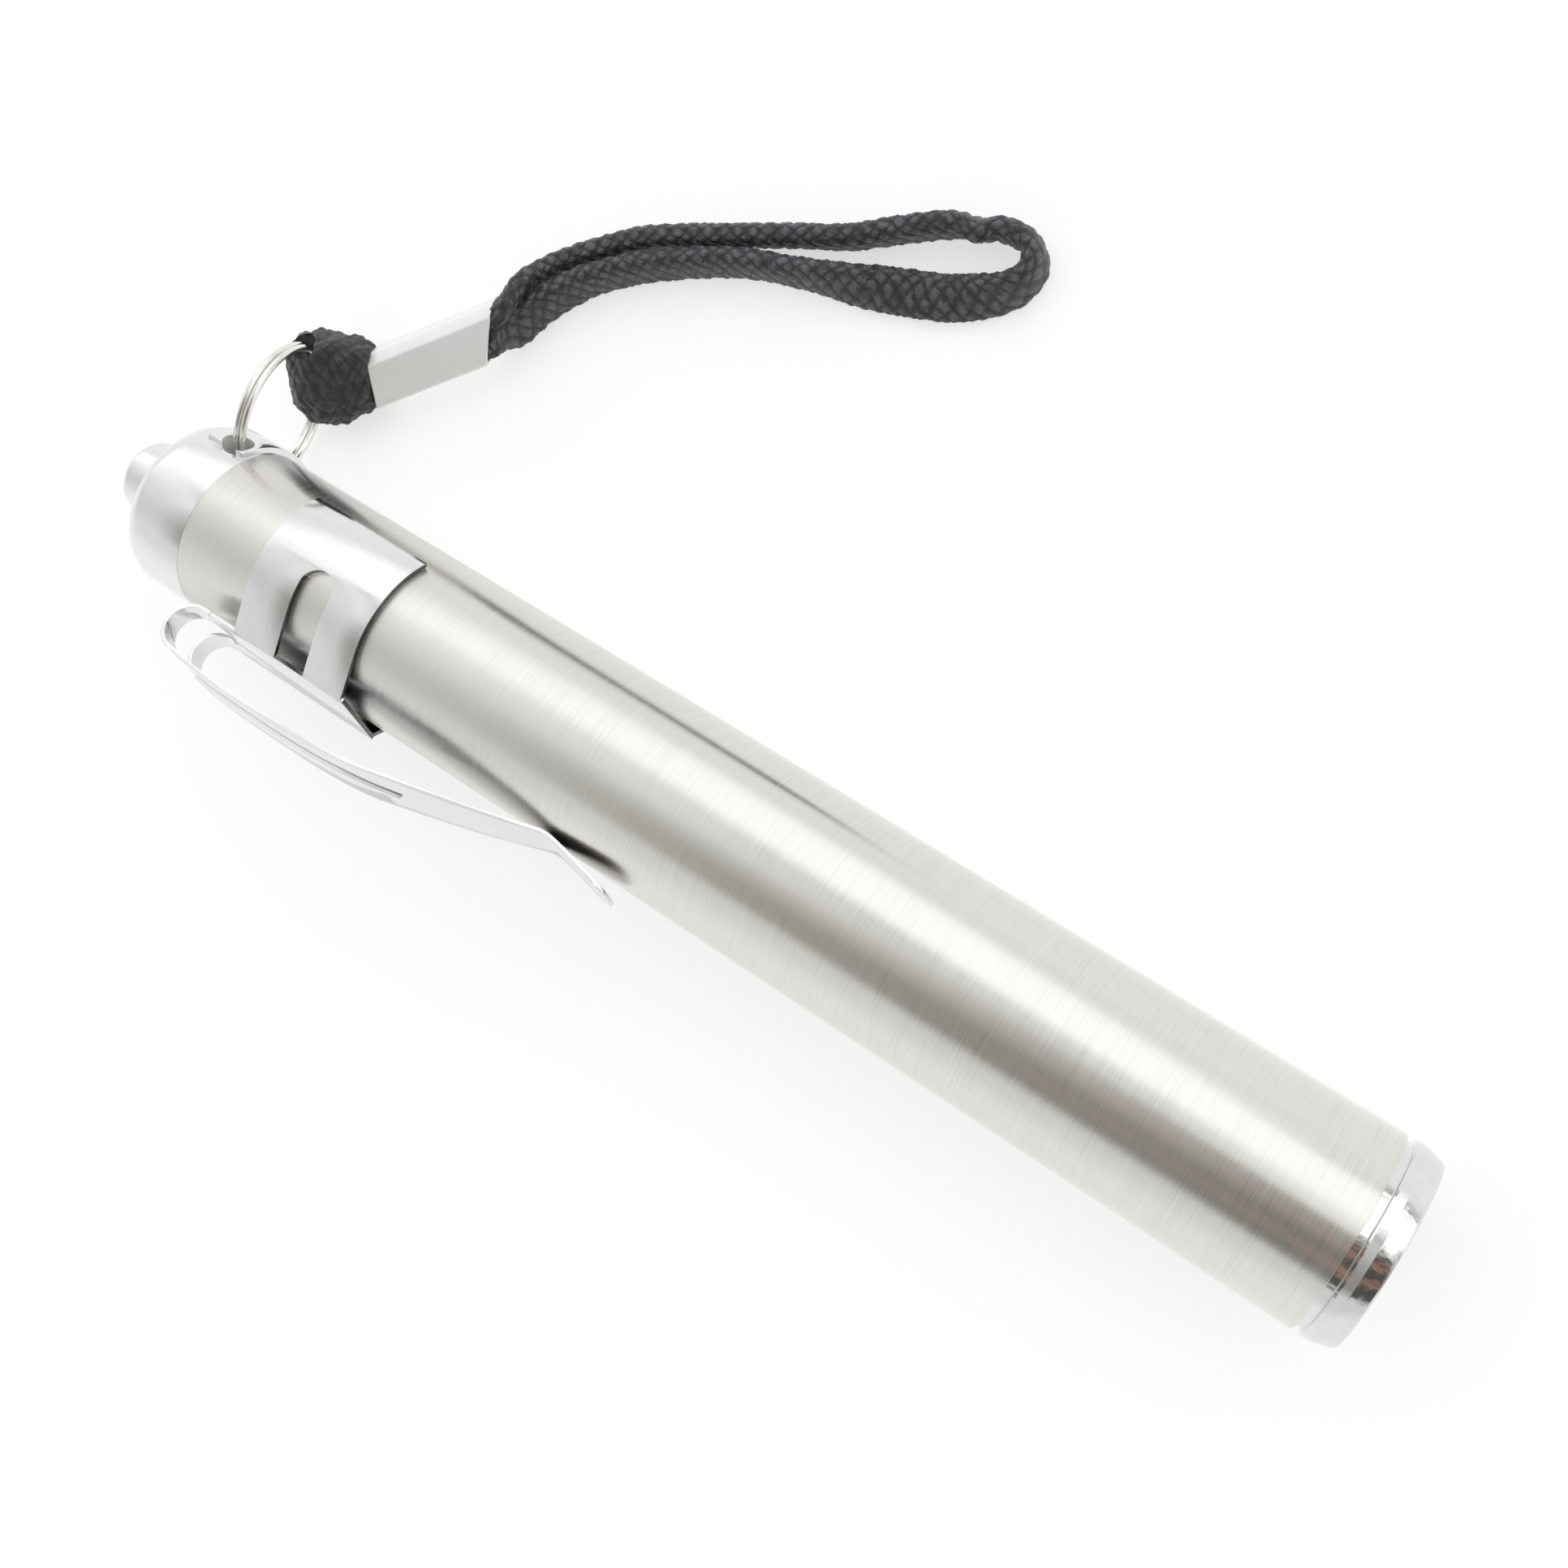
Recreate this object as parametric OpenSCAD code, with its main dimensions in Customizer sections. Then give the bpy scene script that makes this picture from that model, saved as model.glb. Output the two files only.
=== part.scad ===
// Slim pocket torch with a spring pocket clip, a split ring and a wrist strap.
// Millimetres, +Z up. The beam leaves along +X. The origin is on the barrel's axis,
// in the plane of the bezel's front rim.

/* [Barrel] */
// Wall of the barrel tube
barrel_wall = 0.6; // [0.4:0.05:0.7]
// Wall of the liner between the cells and the barrel
liner_wall = 1.45; // [1.2:0.05:1.8]

/* [Bezel and lamp] */
// Length of the bezel's outer wall
bezel_l = 2.2; // [2:0.1:4]
// Width of the groove between the barrel and the bezel
groove_w = 0.6; // [0.55:0.05:1.2]
// Depth of that groove
groove_depth = 0.35; // [0.2:0.05:0.5]
// Wall of the bezel's sleeve inside the barrel
sleeve_wall = 0.5; // [0.4:0.05:0.7]
// Length of the bezel's chamfer at the front
rim_bevel_l = 1.3; // [0.8:0.1:1.4]
// Depth of that chamfer
rim_bevel = 0.4; // [0.2:0.05:0.5]
// Thickness of the bezel's lip in front of the lens
lip_t = 0.8; // [0.6:0.1:1.2]
// How far the lip reaches in over the lens
lip_reach = 0.5; // [0.3:0.1:0.8]
// Thickness of the lens
lens_t = 1; // [0.8:0.1:1.4]
// Thickness of the gasket behind the lens
gasket_t = 0.4; // [0.3:0.1:0.6]
// Length of the reflector
reflector_l = 4.4; // [4.2:0.1:5]
// Diameter of the lamp's round body
led_d = 5; // [4.6:0.1:5.4]
// Thickness of the lamp's board
board_t = 0.8; // [0.6:0.1:1]
// Height of the front contact behind the board
front_contact_h = 0.5; // [0.4:0.1:0.8]

/* [Batteries] */
// Diameter of a battery cell
cell_d = 10.5; // [10:0.1:10.8]
// Length of a battery cell with its tip
cell_l = 44.5; // [43.5:0.1:44.6]
// Length of the cell's tip
cell_tip_l = 1.1; // [0.8:0.1:1.4]
// Room for the spring between the tail cap and the rear cell
spring_room = 2.5; // [2.2:0.1:3.5]

/* [Tail cap] */
// Length of the tail cap's straight wall
cap_wall_l = 5; // [5:0.1:7]
// Radius of the tail cap's round shoulder
cap_shoulder_r = 2; // [1.4:0.1:2.4]
// Length of the cap's sleeve inside the barrel
cap_sleeve_l = 6.2; // [6:0.1:6.6]
// Wall of that sleeve
cap_sleeve_wall = 1.35; // [1.25:0.05:1.5]
// Thickness of the sealing ring
o_ring_d = 0.9; // [0.8:0.05:0.95]
// Pitch of the cap's thread
thread_pitch = 0.75; // [0.6:0.05:0.9]

/* [Push button] */
// Diameter of the push button
button_d = 6.4; // [5.6:0.1:6.6]
// How far the button stands out of the cap
button_proud = 5; // [4:0.1:6]
// How far the button travels
button_travel = 1.2; // [0.8:0.1:1.2]
// Diameter of the button's stem
stem_d = 2.4; // [2:0.1:2.8]
// Thickness of the switch body
switch_t = 3.8; // [3.6:0.1:4]
// Wire of the button's spring
button_spring_wire = 0.4; // [0.3:0.05:0.45]

/* [Pocket clip] */
// Thickness of the clip's sheet
sheet_t = 0.35; // [0.25:0.05:0.45]
// Where the clip stands round the barrel, from straight up towards -Y
clip_angle = 64; // [40:1:80]
// Distance from the tail seam to the clip's band
band_from_tail = 8; // [7:0.1:12]
// Length of the band
band_l = 11.8; // [10:0.1:14]
// Half of the angle that the band takes round the barrel
band_half_angle = 123; // [110:1:130]
// Width of the windows in the band
window_w = 3.2; // [2.4:0.1:4]
// Width of the clip's spine and arm
clip_w = 7; // [6:0.1:7.6]
// Gap between the barrel and the spine
spine_gap = 0.3; // [0.2:0.05:0.5]
// How far the fold reaches behind the band
fold_reach = 5.9; // [5.5:0.1:6.5]
// Clear gap inside the fold
fold_gap = 3.7; // [3.4:0.1:4.2]
// Width of the slot round the fold
fold_slot_w = 3.1; // [2.4:0.1:3.6]
// Distance from the band's rear edge to where the arm meets the barrel
kink_from_band = 32; // [28:0.1:36]
// Length of the turned-up tip past that place
tip_l = 7; // [5:0.1:9]
// Width of the arm at its tip
tip_w = 4.5; // [3.6:0.1:5.5]
// How far the rib stands out of the arm
rib_h = 0.25; // [0.15:0.05:0.4]

/* [Split ring] */
// Radius of the split ring at the middle of its wire
ring_r = 6; // [5.8:0.05:6.2]
// Thickness of the ring's wire
ring_wire = 0.6; // [0.5:0.05:0.65]
// Distance between the ring's two turns
ring_pitch = 1.02; // [1.02:0.01:1.06]
// Radius of the tunnel that the ring runs through
tunnel_r = 1.3; // [1.25:0.05:1.35]
// How far the pad over the tunnel stands out of the cap
pad_h = 0.5; // [0.3:0.05:0.8]

/* [Wrist strap] */
// Thickness of the strap's cord
cord_d = 2.4; // [2:0.1:2.4]
// Width of the crimp
crimp_w = 4.5; // [4.4:0.1:5.2]
// Height of the crimp
crimp_h = 2.6; // [2.4:0.1:3.2]
// Width of the strap's end where it wraps the ring
wrap_w = 7.4; // [6.8:0.1:7.8]
// Height of that wrap
wrap_h = 4.6; // [4.4:0.1:5]

/* [Hidden] */

$fn = 96;
slide_gap = 0.05; // radial gap of parts that slide or turn in each other
seat_gap = 0.1; // gap of parts that are dropped in
through = 1; // how far a cut runs past what it cuts

// The cells set the barrel's bore and its length
cell_r = cell_d / 2;
bore_r = cell_r + liner_wall + 2 * seat_gap;
barrel_r = bore_r + barrel_wall;
barrel_d = 2 * barrel_r;
lamp_l = front_contact_h + board_t + reflector_l + gasket_t + lens_t + lip_t;
rim_x = cap_sleeve_l + spring_room + 2 * cell_l + lamp_l;
front_x = rim_x - bezel_l - groove_w;

// Lamp end, from the rim backwards
lens_front = rim_x - lip_t;
lens_back = lens_front - lens_t;
reflector_front = lens_back - gasket_t;
board_front = reflector_front - reflector_l;
board_back = board_front - board_t;
front_contact_back = board_back - front_contact_h;
sleeve_r = bore_r - slide_gap;
lamp_r = sleeve_r - sleeve_wall;
lens_r = lamp_r - slide_gap;
lip_r = lens_r - lip_reach;
lip_bevel = 0.5;
led_r = led_d / 2;
led_flange_r = led_r + 0.4;
led_flange_t = 0.7;
led_body_l = 0.9; // from the board to the middle of the dome
led_pocket_gap = 0.1;
front_contact_r = 1.8;

// Batteries
cell_front_x = front_contact_back;
cell_rear_x = cell_front_x - 2 * cell_l;
cell_edge_r = 0.5;
cell_tip_r = 1.9;
sleeve_gap = 0.2;

// Tail cap, from the seam backwards
cap_rear = -(cap_wall_l + cap_shoulder_r);
cap_floor = 0.4;
cap_sleeve_r = bore_r - slide_gap;
cap_bore_r = cap_sleeve_r - cap_sleeve_wall;
o_ring_x = 1.7;
o_ring_gap = 0.02;
o_ring_groove_w = o_ring_d + 0.2;
thread_from = 2.8;
thread_depth = 0.3;
thread_turns = 4;

// Push button
button_r = button_d / 2;
button_wall = 0.7;
button_crown = 1.4;
button_edge_r = 0.6;
button_rear = cap_rear - button_proud;
button_front = cap_rear + 0.8;
button_bore_r = button_r + slide_gap;
button_floor = button_front + button_travel + 0.1;
stem_r = stem_d / 2;
stem_bore_r = stem_r + slide_gap;
stem_clip_from = cap_floor + slide_gap;
stem_clip_t = 0.5;
stem_clip_r = stem_r + 1.3;
switch_from = cap_sleeve_l - switch_t;
plunger_bore_r = stem_r + 0.4;
switch_contact_t = 0.4;
switch_contact_front = switch_from + 2.7;
stem_tip = switch_contact_front - switch_contact_t - button_travel - 0.2;
button_spring_r = (stem_r + button_r - button_wall) / 2;
button_spring_from = button_rear + button_crown;
button_spring_turns = 4;
spring_gap = 0.02; // gap of a spring's end to its seat
battery_spring_wire = 0.5;
battery_spring_turns = 2;
battery_spring_r1 = 3.8;
battery_spring_r2 = 1.8;

// Clip, in its own frame: x along the barrel, y across the sheet, z away from the barrel's axis
band_front = band_from_tail + band_l;
clip_inner_r = barrel_r + slide_gap;
clip_outer_r = clip_inner_r + sheet_t;
spine_z = barrel_r + spine_gap;
spine_top = spine_z + sheet_t;
spine_proud = 0.2; // how far the spine runs on in front of the band
spine_front = band_front + spine_proud;
fold_inner_r = fold_gap / 2;
fold_outer_r = fold_inner_r + sheet_t;
fold_x = band_from_tail - fold_reach + fold_outer_r;
fold_z = spine_top + fold_inner_r;
flex_x = fold_x + 0.9;
flex_gap = 0.04;
slot_end = flex_x + 1;
fold_slot_reach = 0.4; // how far the slot runs on over the fold
window_from = band_from_tail + 4.5;
window_end_angle = 83;
kink_x = band_from_tail + kink_from_band;
tip_x = kink_x + tip_l;
arm_start_z = fold_z + fold_inner_r + sheet_t / 2;
arm_rise = 0.45; // how far the arm rises over its first length
arm_rise_l = 3;
arm_sag = 0.1; // how far it has come down again at its shoulder
arm_top_z = arm_start_z + arm_rise;
kink_z = barrel_r + slide_gap + sheet_t / 2;
tip_rise = 1.25;
arm_fall_l = 22; // length over which the arm comes down to the barrel
arm_taper_l = 16; // length over which it narrows
shoulder_x = kink_x - arm_fall_l;
arm_taper_x = kink_x - arm_taper_l;
rib_to_kink = 12.5;
rib_end = kink_x - rib_to_kink;
rib_w = 2.2;
rib_point_l = 5;
rib_from = fold_x + 2;
dimple_r = 0.6;
dimple_from_tip = 2.2;
dimple_lift = 0.5;

// How far down the arm has come, against how far it has gone from its shoulder to the kink
ARM_FALL = [[0.23, 0.12], [0.45, 0.34], [0.6, 0.5], [0.77, 0.7], [0.93, 0.92]];

// Ring: its centre, the way out from the barrel, and how far it leans
ring_x = -3.1;
ring_lift = -7; // angle of the ring's centre above the level line through the axis
ring_bite = 3; // how far the middle of the wire runs under the barrel's surface
ring_centre_r = barrel_r - ring_bite + ring_r;
ring_c = [ring_x, ring_centre_r * cos(ring_lift), ring_centre_r * sin(ring_lift)];
ring_yaw = 5.5;
ring_tilt = 10.8;
ring_turns = 2;
ring_rings = 24; // rings of the tube in one turn
ring_start = 105; // where the wire ends, from straight up towards +Y, inside the strap's wrap
pad_from = -4.3;
pad_to = -0.3;
pad_angles = [-48, 34];

// Strap: what stands between the wrap and the crimp, and how they roll
table_z = -barrel_r;
strap_dir = 44; // degrees from the barrel's direction to the crimp's
strap_roll = 38;
crimp_from = [1.5, 16.7, -4.8];
crimp_l = 11.9; // at its middle
crimp_slant = 1.5; // how far its far end runs past that along one edge, and stops short along the other
wrap_l = 7.6; // from the crimp back to the far end of the wrap
wrap_neck = 3; // length over which it narrows to the crimp
wrap_step = 0.1; // how much less than the crimp it measures there
wrap_dir = 20; // degrees from the barrel's direction to the wrap's
wrap_pitch = 12; // how far the wrap rises towards the ring
wrap_edge_r = 1.2;
wrap_tunnel_r = 1.65;
wrap_gap = 0.3; // gap between the soft wrap and the crimp, and between the crimp and the cord
cord_sides = 8;
cord_side = 1.3; // how far a strand leaves the crimp beside its middle
cord_straight = 1; // how far the strands run straight out of the crimp

// The cord's route from the crimp and back to it, with how far it is lifted off the table
STRAP_ROUTE = [
    [11.9, 30, 0.9], [12.9, 32.4, 0.2], [15.4, 35.6], [19.4, 38.4], [25.7, 41.5], [31, 43.4],
    [35, 44.8], [38.8, 46.7], [42.4, 48.2], [45.8, 49.3], [48.3, 49.5], [49.5, 48.1],
    [48.5, 46.4], [44.9, 44.2], [41, 42.7], [36.8, 41.2], [32.2, 39.9], [27, 38.2],
    [20.8, 35.2], [16.8, 32.3], [14.4, 29.7], [12.9, 27.3]
];

// Moves what is measured from the tail seam to the rim's frame
module from_seam() translate([-rim_x, 0, 0]) children();

// Turns a shape that stands along Z to lie along X, starting at x
module along_x(x) translate([x, 0, 0]) rotate([0, 90, 0]) children();

module rod(from, to, r) along_x(from) cylinder(h = to - from, r = r);

// A round solid about the barrel's axis from points [x, r]
module turned(points) along_x(0) rotate_extrude() polygon([for (p = points) [p[1], p[0]]]);

// Points of a round corner of radius r about [x, z], from angle a to angle b
function arc(x, z, r, a, b, n = 8) =
    [for (i = [0:n]) let (t = a + (b - a) * i / n) [x + r * cos(t), z + r * sin(t)]];

// A smooth curve through the points p, with n steps between two of them
function bend(a, b, c, d, t) =
    0.5 * (2 * b + (c - a) * t + (2 * a - 5 * b + 4 * c - d) * t * t
    + (3 * b - a - 3 * c + d) * t * t * t);
function smooth(p, n) = let (last = len(p) - 1) concat(
    [for (i = [0:last - 1], k = [0:n - 1])
        bend(p[max(i - 1, 0)], p[i], p[i + 1], p[min(i + 2, last)], k / n)],
    [p[last]]);

function unit(v) = v / norm(v);

// The way that the curve p runs at point i
function heading(p, i) = unit(p[min(i + 1, len(p) - 1)] - p[max(i - 1, 0)]);

// One unbroken tube along the points p, with flat ends
module tube(p, d, sides, side_up = [0, 0, 1]) {
    n = len(p);
    points = [for (i = [0:n - 1])
        let (h = heading(p, i), u = unit(cross(h, side_up)), v = cross(u, h))
        for (k = [0:sides - 1])
            let (t = 360 * (k + 0.5) / sides)
            p[i] + d / 2 * (cos(t) * u + sin(t) * v)];
    walls = [for (i = [0:n - 2], k = [0:sides - 1])
        let (a = i * sides + k, b = i * sides + (k + 1) % sides)
        each [[a, b, a + sides], [b, b + sides, a + sides]]];
    ends = concat(
        [for (k = [1:sides - 2]) [0, k + 1, k]],
        [for (k = [1:sides - 2]) let (e = (n - 1) * sides) [e, e + k, e + k + 1]]);
    polyhedron(points = points, faces = concat(walls, ends));
}

// Points of a coil along X, with the radius going from r1 to r2
function coil(x1, x2, r1, r2, turns, rings) =
    [for (i = [0:turns * rings]) let (f = i / (turns * rings), t = 360 * turns * f, r = r1 + (r2 - r1) * f)
        [x1 + (x2 - x1) * f, r * cos(t), r * sin(t)]];

// Barrel

module barrel() {
    color([0.76, 0.75, 0.72])
    from_seam() difference() {
        rod(0, front_x, barrel_r);
        rod(-through, front_x + through, bore_r);
    }
}

module bezel() {
    color([0.86, 0.86, 0.87])
    from_seam() turned([
        [board_back, lamp_r], [board_back, sleeve_r], [front_x, sleeve_r],
        [front_x, barrel_r - groove_depth], [front_x + groove_w, barrel_r - groove_depth],
        [front_x + groove_w, barrel_r], [rim_x - rim_bevel_l, barrel_r], [rim_x, barrel_r - rim_bevel],
        [rim_x, lip_r + lip_bevel], [rim_x - lip_bevel, lip_r], [lens_front, lip_r], [lens_front, lamp_r]
    ]);
}

module lens() {
    color([0.85, 0.92, 0.95])
    from_seam() rod(lens_back, lens_front, lens_r);
}

module lens_gasket() {
    color([0.12, 0.12, 0.12])
    from_seam() difference() {
        rod(reflector_front, lens_back, lens_r);
        rod(reflector_front - through, lens_back + through, lip_r);
    }
}

module reflector() {
    throat = led_r + led_pocket_gap;
    pocket_front = board_front + led_flange_t + led_pocket_gap;
    pocket_r = led_flange_r + led_pocket_gap;
    bowl_l = reflector_front - pocket_front;
    bowl = [for (i = [0:8]) let (f = i / 8) [pocket_front + bowl_l * f, throat + (lip_r - throat) * sqrt(f)]];
    color([0.9, 0.9, 0.9])
    from_seam() turned(concat(
        [[board_front, pocket_r], [board_front, lens_r], [reflector_front, lens_r]],
        [for (i = [8:-1:0]) bowl[i]],
        [[pocket_front, pocket_r]]));
}

module led() {
    dome_x = board_front + led_body_l;
    color([0.95, 0.95, 0.85])
    from_seam() union() {
        rod(board_front, board_front + led_flange_t, led_flange_r);
        rod(board_front, dome_x, led_r);
        intersection() {
            translate([dome_x, 0, 0]) sphere(r = led_r);
            rod(board_front, lens_back, led_r + through);
        }
    }
}

module led_board() {
    color([0.13, 0.35, 0.22])
    from_seam() rod(board_back, board_front, lens_r);
}

module front_contact() {
    color([0.78, 0.63, 0.3])
    from_seam() rod(front_contact_back, board_back, front_contact_r);
}

// Batteries

module battery_sleeve() {
    color([0.2, 0.2, 0.22])
    from_seam() difference() {
        rod(cap_sleeve_l + sleeve_gap, board_back - sleeve_gap, bore_r - seat_gap);
        rod(0, front_x, cell_r + seat_gap);
    }
}

module cell(from) {
    body_end = from + cell_l - cell_tip_l;
    rod(body_end - through, from + cell_l, cell_tip_r);
    turned(concat(
        [[from, 0]],
        arc(from + cell_edge_r, cell_r - cell_edge_r, cell_edge_r, 180, 90, 4),
        arc(body_end - cell_edge_r, cell_r - cell_edge_r, cell_edge_r, 90, 0, 4),
        [[body_end, 0]]));
}

module cell_front() {
    color([0.25, 0.3, 0.35])
    from_seam() cell(cell_front_x - cell_l);
}

module cell_rear() {
    color([0.25, 0.3, 0.35])
    from_seam() cell(cell_rear_x);
}

module battery_spring() {
    half = battery_spring_wire / 2;
    path = coil(cap_sleeve_l + half + spring_gap, cell_rear_x - half - spring_gap,
        battery_spring_r1, battery_spring_r2, battery_spring_turns, 12);
    color([0.7, 0.7, 0.72])
    from_seam() tube(path, battery_spring_wire, 6, [1, 0, 0]);
}

// Tail cap

// The ring's own circle, as a round bar of radius r
module ring_bar(r) {
    translate(ring_c) rotate([0, ring_tilt, ring_yaw]) rotate([0, 90, 0])
        rotate_extrude() translate([ring_r, 0]) circle(r = r, $fn = 24);
}

// The ring's plane: straight ahead of it, outwards and upwards
function turn_y(v, a) = [v[0] * cos(a) + v[2] * sin(a), v[1], v[2] * cos(a) - v[0] * sin(a)];
function turn_z(v, a) = [v[0] * cos(a) - v[1] * sin(a), v[0] * sin(a) + v[1] * cos(a), v[2]];
function in_ring(v) = turn_z(turn_y(v, ring_tilt), ring_yaw);

// A point of the ring, by its angle from straight up towards +Y
function ring_point(a) = ring_c + ring_r * in_ring([0, sin(a), cos(a)]);

module cap_pad() {
    r = barrel_r + pad_h;
    reach = 2 * barrel_r;
    intersection() {
        difference() {
            rod(pad_from, pad_to, r);
            rod(pad_from - through, pad_to + through, barrel_r - pad_h);
        }
        rotate([90, 0, 90]) translate([0, 0, pad_from - through])
            linear_extrude(height = pad_to - pad_from + 2 * through)
            polygon([[0, 0], for (i = [0:3]) let (t = pad_angles[0] + (pad_angles[1] - pad_angles[0]) * i / 3)
                reach * [cos(t), sin(t)]]);
    }
}

module tail_cap() {
    color([0.84, 0.84, 0.85])
    from_seam() difference() {
        union() {
            turned(concat(
                [[cap_rear, button_bore_r]],
                arc(-cap_wall_l, barrel_r - cap_shoulder_r, cap_shoulder_r, 180, 90),
                [[0, barrel_r], [0, cap_sleeve_r],
                [o_ring_x - o_ring_groove_w / 2, cap_sleeve_r],
                [o_ring_x - o_ring_groove_w / 2, cap_sleeve_r - o_ring_d],
                [o_ring_x + o_ring_groove_w / 2, cap_sleeve_r - o_ring_d],
                [o_ring_x + o_ring_groove_w / 2, cap_sleeve_r], [thread_from, cap_sleeve_r]],
                [for (i = [0:thread_turns - 1], q = [[0.25, 1], [0.5, 1], [0.75, 0], [1, 0]])
                    [thread_from + thread_pitch * (i + q[0]), cap_sleeve_r - thread_depth * q[1]]],
                [[cap_sleeve_l, cap_sleeve_r], [cap_sleeve_l, cap_bore_r], [cap_floor, cap_bore_r],
                [cap_floor, stem_bore_r], [button_floor, stem_bore_r], [button_floor, button_bore_r]]));
            cap_pad();
        }
        ring_bar(tunnel_r);
    }
}

module o_ring() {
    color([0.1, 0.1, 0.1])
    from_seam() along_x(o_ring_x) rotate_extrude()
        translate([cap_sleeve_r - o_ring_d / 2, 0])
        circle(r = o_ring_d / 2 - o_ring_gap, $fn = 24);
}

module push_button() {
    cup_r = button_r - button_wall;
    color([0.85, 0.85, 0.86])
    from_seam() turned(concat(
        [[button_rear, 0]],
        arc(button_rear + button_edge_r, button_r - button_edge_r, button_edge_r, 180, 90, 5),
        [[button_front, button_r], [button_front, cup_r], [button_rear + button_crown, cup_r],
        [button_rear + button_crown, stem_r], [stem_tip, stem_r], [stem_tip, 0]]));
}

module button_spring() {
    half = button_spring_wire / 2;
    path = coil(button_spring_from + half + spring_gap, button_floor - half - spring_gap,
        button_spring_r, button_spring_r, button_spring_turns, 12);
    color([0.7, 0.7, 0.72])
    from_seam() tube(path, button_spring_wire, 6, [1, 0, 0]);
}

module stem_clip() {
    color([0.6, 0.6, 0.62])
    from_seam() difference() {
        rod(stem_clip_from, stem_clip_from + stem_clip_t, stem_clip_r);
        rod(0, stem_clip_from + through, stem_r);
    }
}

module switch_body() {
    color([0.15, 0.15, 0.16])
    from_seam() difference() {
        rod(switch_from, cap_sleeve_l, cap_bore_r - slide_gap);
        rod(switch_from - through, switch_contact_front, plunger_bore_r);
    }
}

module switch_contact() {
    color([0.78, 0.63, 0.3])
    from_seam()
        rod(switch_contact_front - switch_contact_t, switch_contact_front, plunger_bore_r - slide_gap);
}

// Pocket clip

module clip_frame() rotate([clip_angle, 0, 0]) children();

// The angle, from straight up, where a line from the corner p touches the circle r
function touch(p, r) = atan2(p[0], p[1]) + acos(r / norm(p));

// Half of the band's outline across the barrel, mirrored: a circle and the flanks up to the spine
module band_outline(r, half_w, top) {
    a = touch([half_w, top], r);
    circle(r = r);
    polygon([[0, 0], [-r * sin(a), r * cos(a)], [-half_w, top], [half_w, top], [r * sin(a), r * cos(a)]]);
}

module wedge(a, b, reach) {
    polygon([[0, 0], for (i = [0:4]) let (t = a + (b - a) * i / 4) reach * [sin(t), cos(t)]]);
}

module across(from, to) {
    translate([from, 0, 0]) rotate([90, 0, 90]) linear_extrude(height = to - from) children();
}

module spine_slot() {
    end_r = fold_slot_w / 2;
    translate([0, -end_r, 0]) cube([slot_end - end_r, fold_slot_w, fold_z]);
    translate([slot_end - end_r, 0, 0]) cylinder(h = fold_z, r = end_r);
}

module clip_band() {
    reach = 2 * barrel_r;
    window_r = window_w / 2;
    window_angle = window_end_angle - asin(window_r / clip_outer_r);
    spine_edge = atan2(clip_w / 2, spine_top);
    color([0.83, 0.83, 0.84])
    from_seam() clip_frame() difference() {
        union() {
            across(band_from_tail, band_front) difference() {
                band_outline(clip_outer_r, clip_w / 2, spine_top);
                band_outline(clip_inner_r, clip_w / 2 - sheet_t / 2, spine_z);
                wedge(band_half_angle, 360 - band_half_angle, reach);
            }
            translate([flex_x, -clip_w / 2, spine_z]) cube([spine_front - flex_x, clip_w, sheet_t]);
        }
        for (s = [-1, 1]) {
            across(window_from, window_from + window_w) wedge(s * spine_edge, s * window_angle, reach);
            translate([window_from + window_r, 0, 0]) rotate([-s * window_angle, 0, 0])
                cylinder(h = reach, r = window_r);
        }
        spine_slot();
    }
}

// The arm's middle line from the fold to the tip
function arm_line() = smooth(concat(
    [[fold_x, arm_start_z], [fold_x + arm_rise_l, arm_top_z - arm_sag],
    [(fold_x + shoulder_x) / 2, arm_top_z], [shoulder_x, arm_top_z - arm_sag]],
    [for (f = ARM_FALL)
        [shoulder_x + f[0] * (kink_x - shoulder_x), arm_top_z + f[1] * (kink_z - arm_top_z)]],
    [[kink_x, kink_z], [kink_x + 0.22 * tip_l, kink_z + 0.12 * tip_rise],
    [kink_x + 0.6 * tip_l, kink_z + 0.55 * tip_rise], [tip_x, kink_z + tip_rise]]), 4);

// The line p moved sideways by d
function beside(p, d) = [for (i = [0:len(p) - 1]) let (h = heading(p, i)) p[i] + d * [-h[1], h[0]]];
function reversed(p) = [for (i = [len(p) - 1:-1:0]) p[i]];

// A sheet that follows the arm, from d1 to d2 beside its middle line
module arm_sheet(d1, d2) {
    line = arm_line();
    rotate([90, 0, 0]) linear_extrude(height = 2 * clip_w, center = true)
        polygon(concat(beside(line, d1), reversed(beside(line, d2))));
}

module upright() linear_extrude(height = arm_top_z + 2 * fold_gap) children();

module arm_plan() {
    half = clip_w / 2;
    tip = tip_w / 2;
    polygon([[0, -half], [arm_taper_x, -half], [kink_x, -tip], [tip_x - tip, -tip], [tip_x - tip, tip],
        [kink_x, tip], [arm_taper_x, half], [0, half]]);
    translate([tip_x - tip, 0]) circle(r = tip);
}

module rib_plan() {
    half = rib_w / 2;
    taper = rib_end - rib_point_l;
    polygon([[rib_from, -half], [taper, -half], [rib_end, 0], [taper, half], [rib_from, half]]);
}

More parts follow.
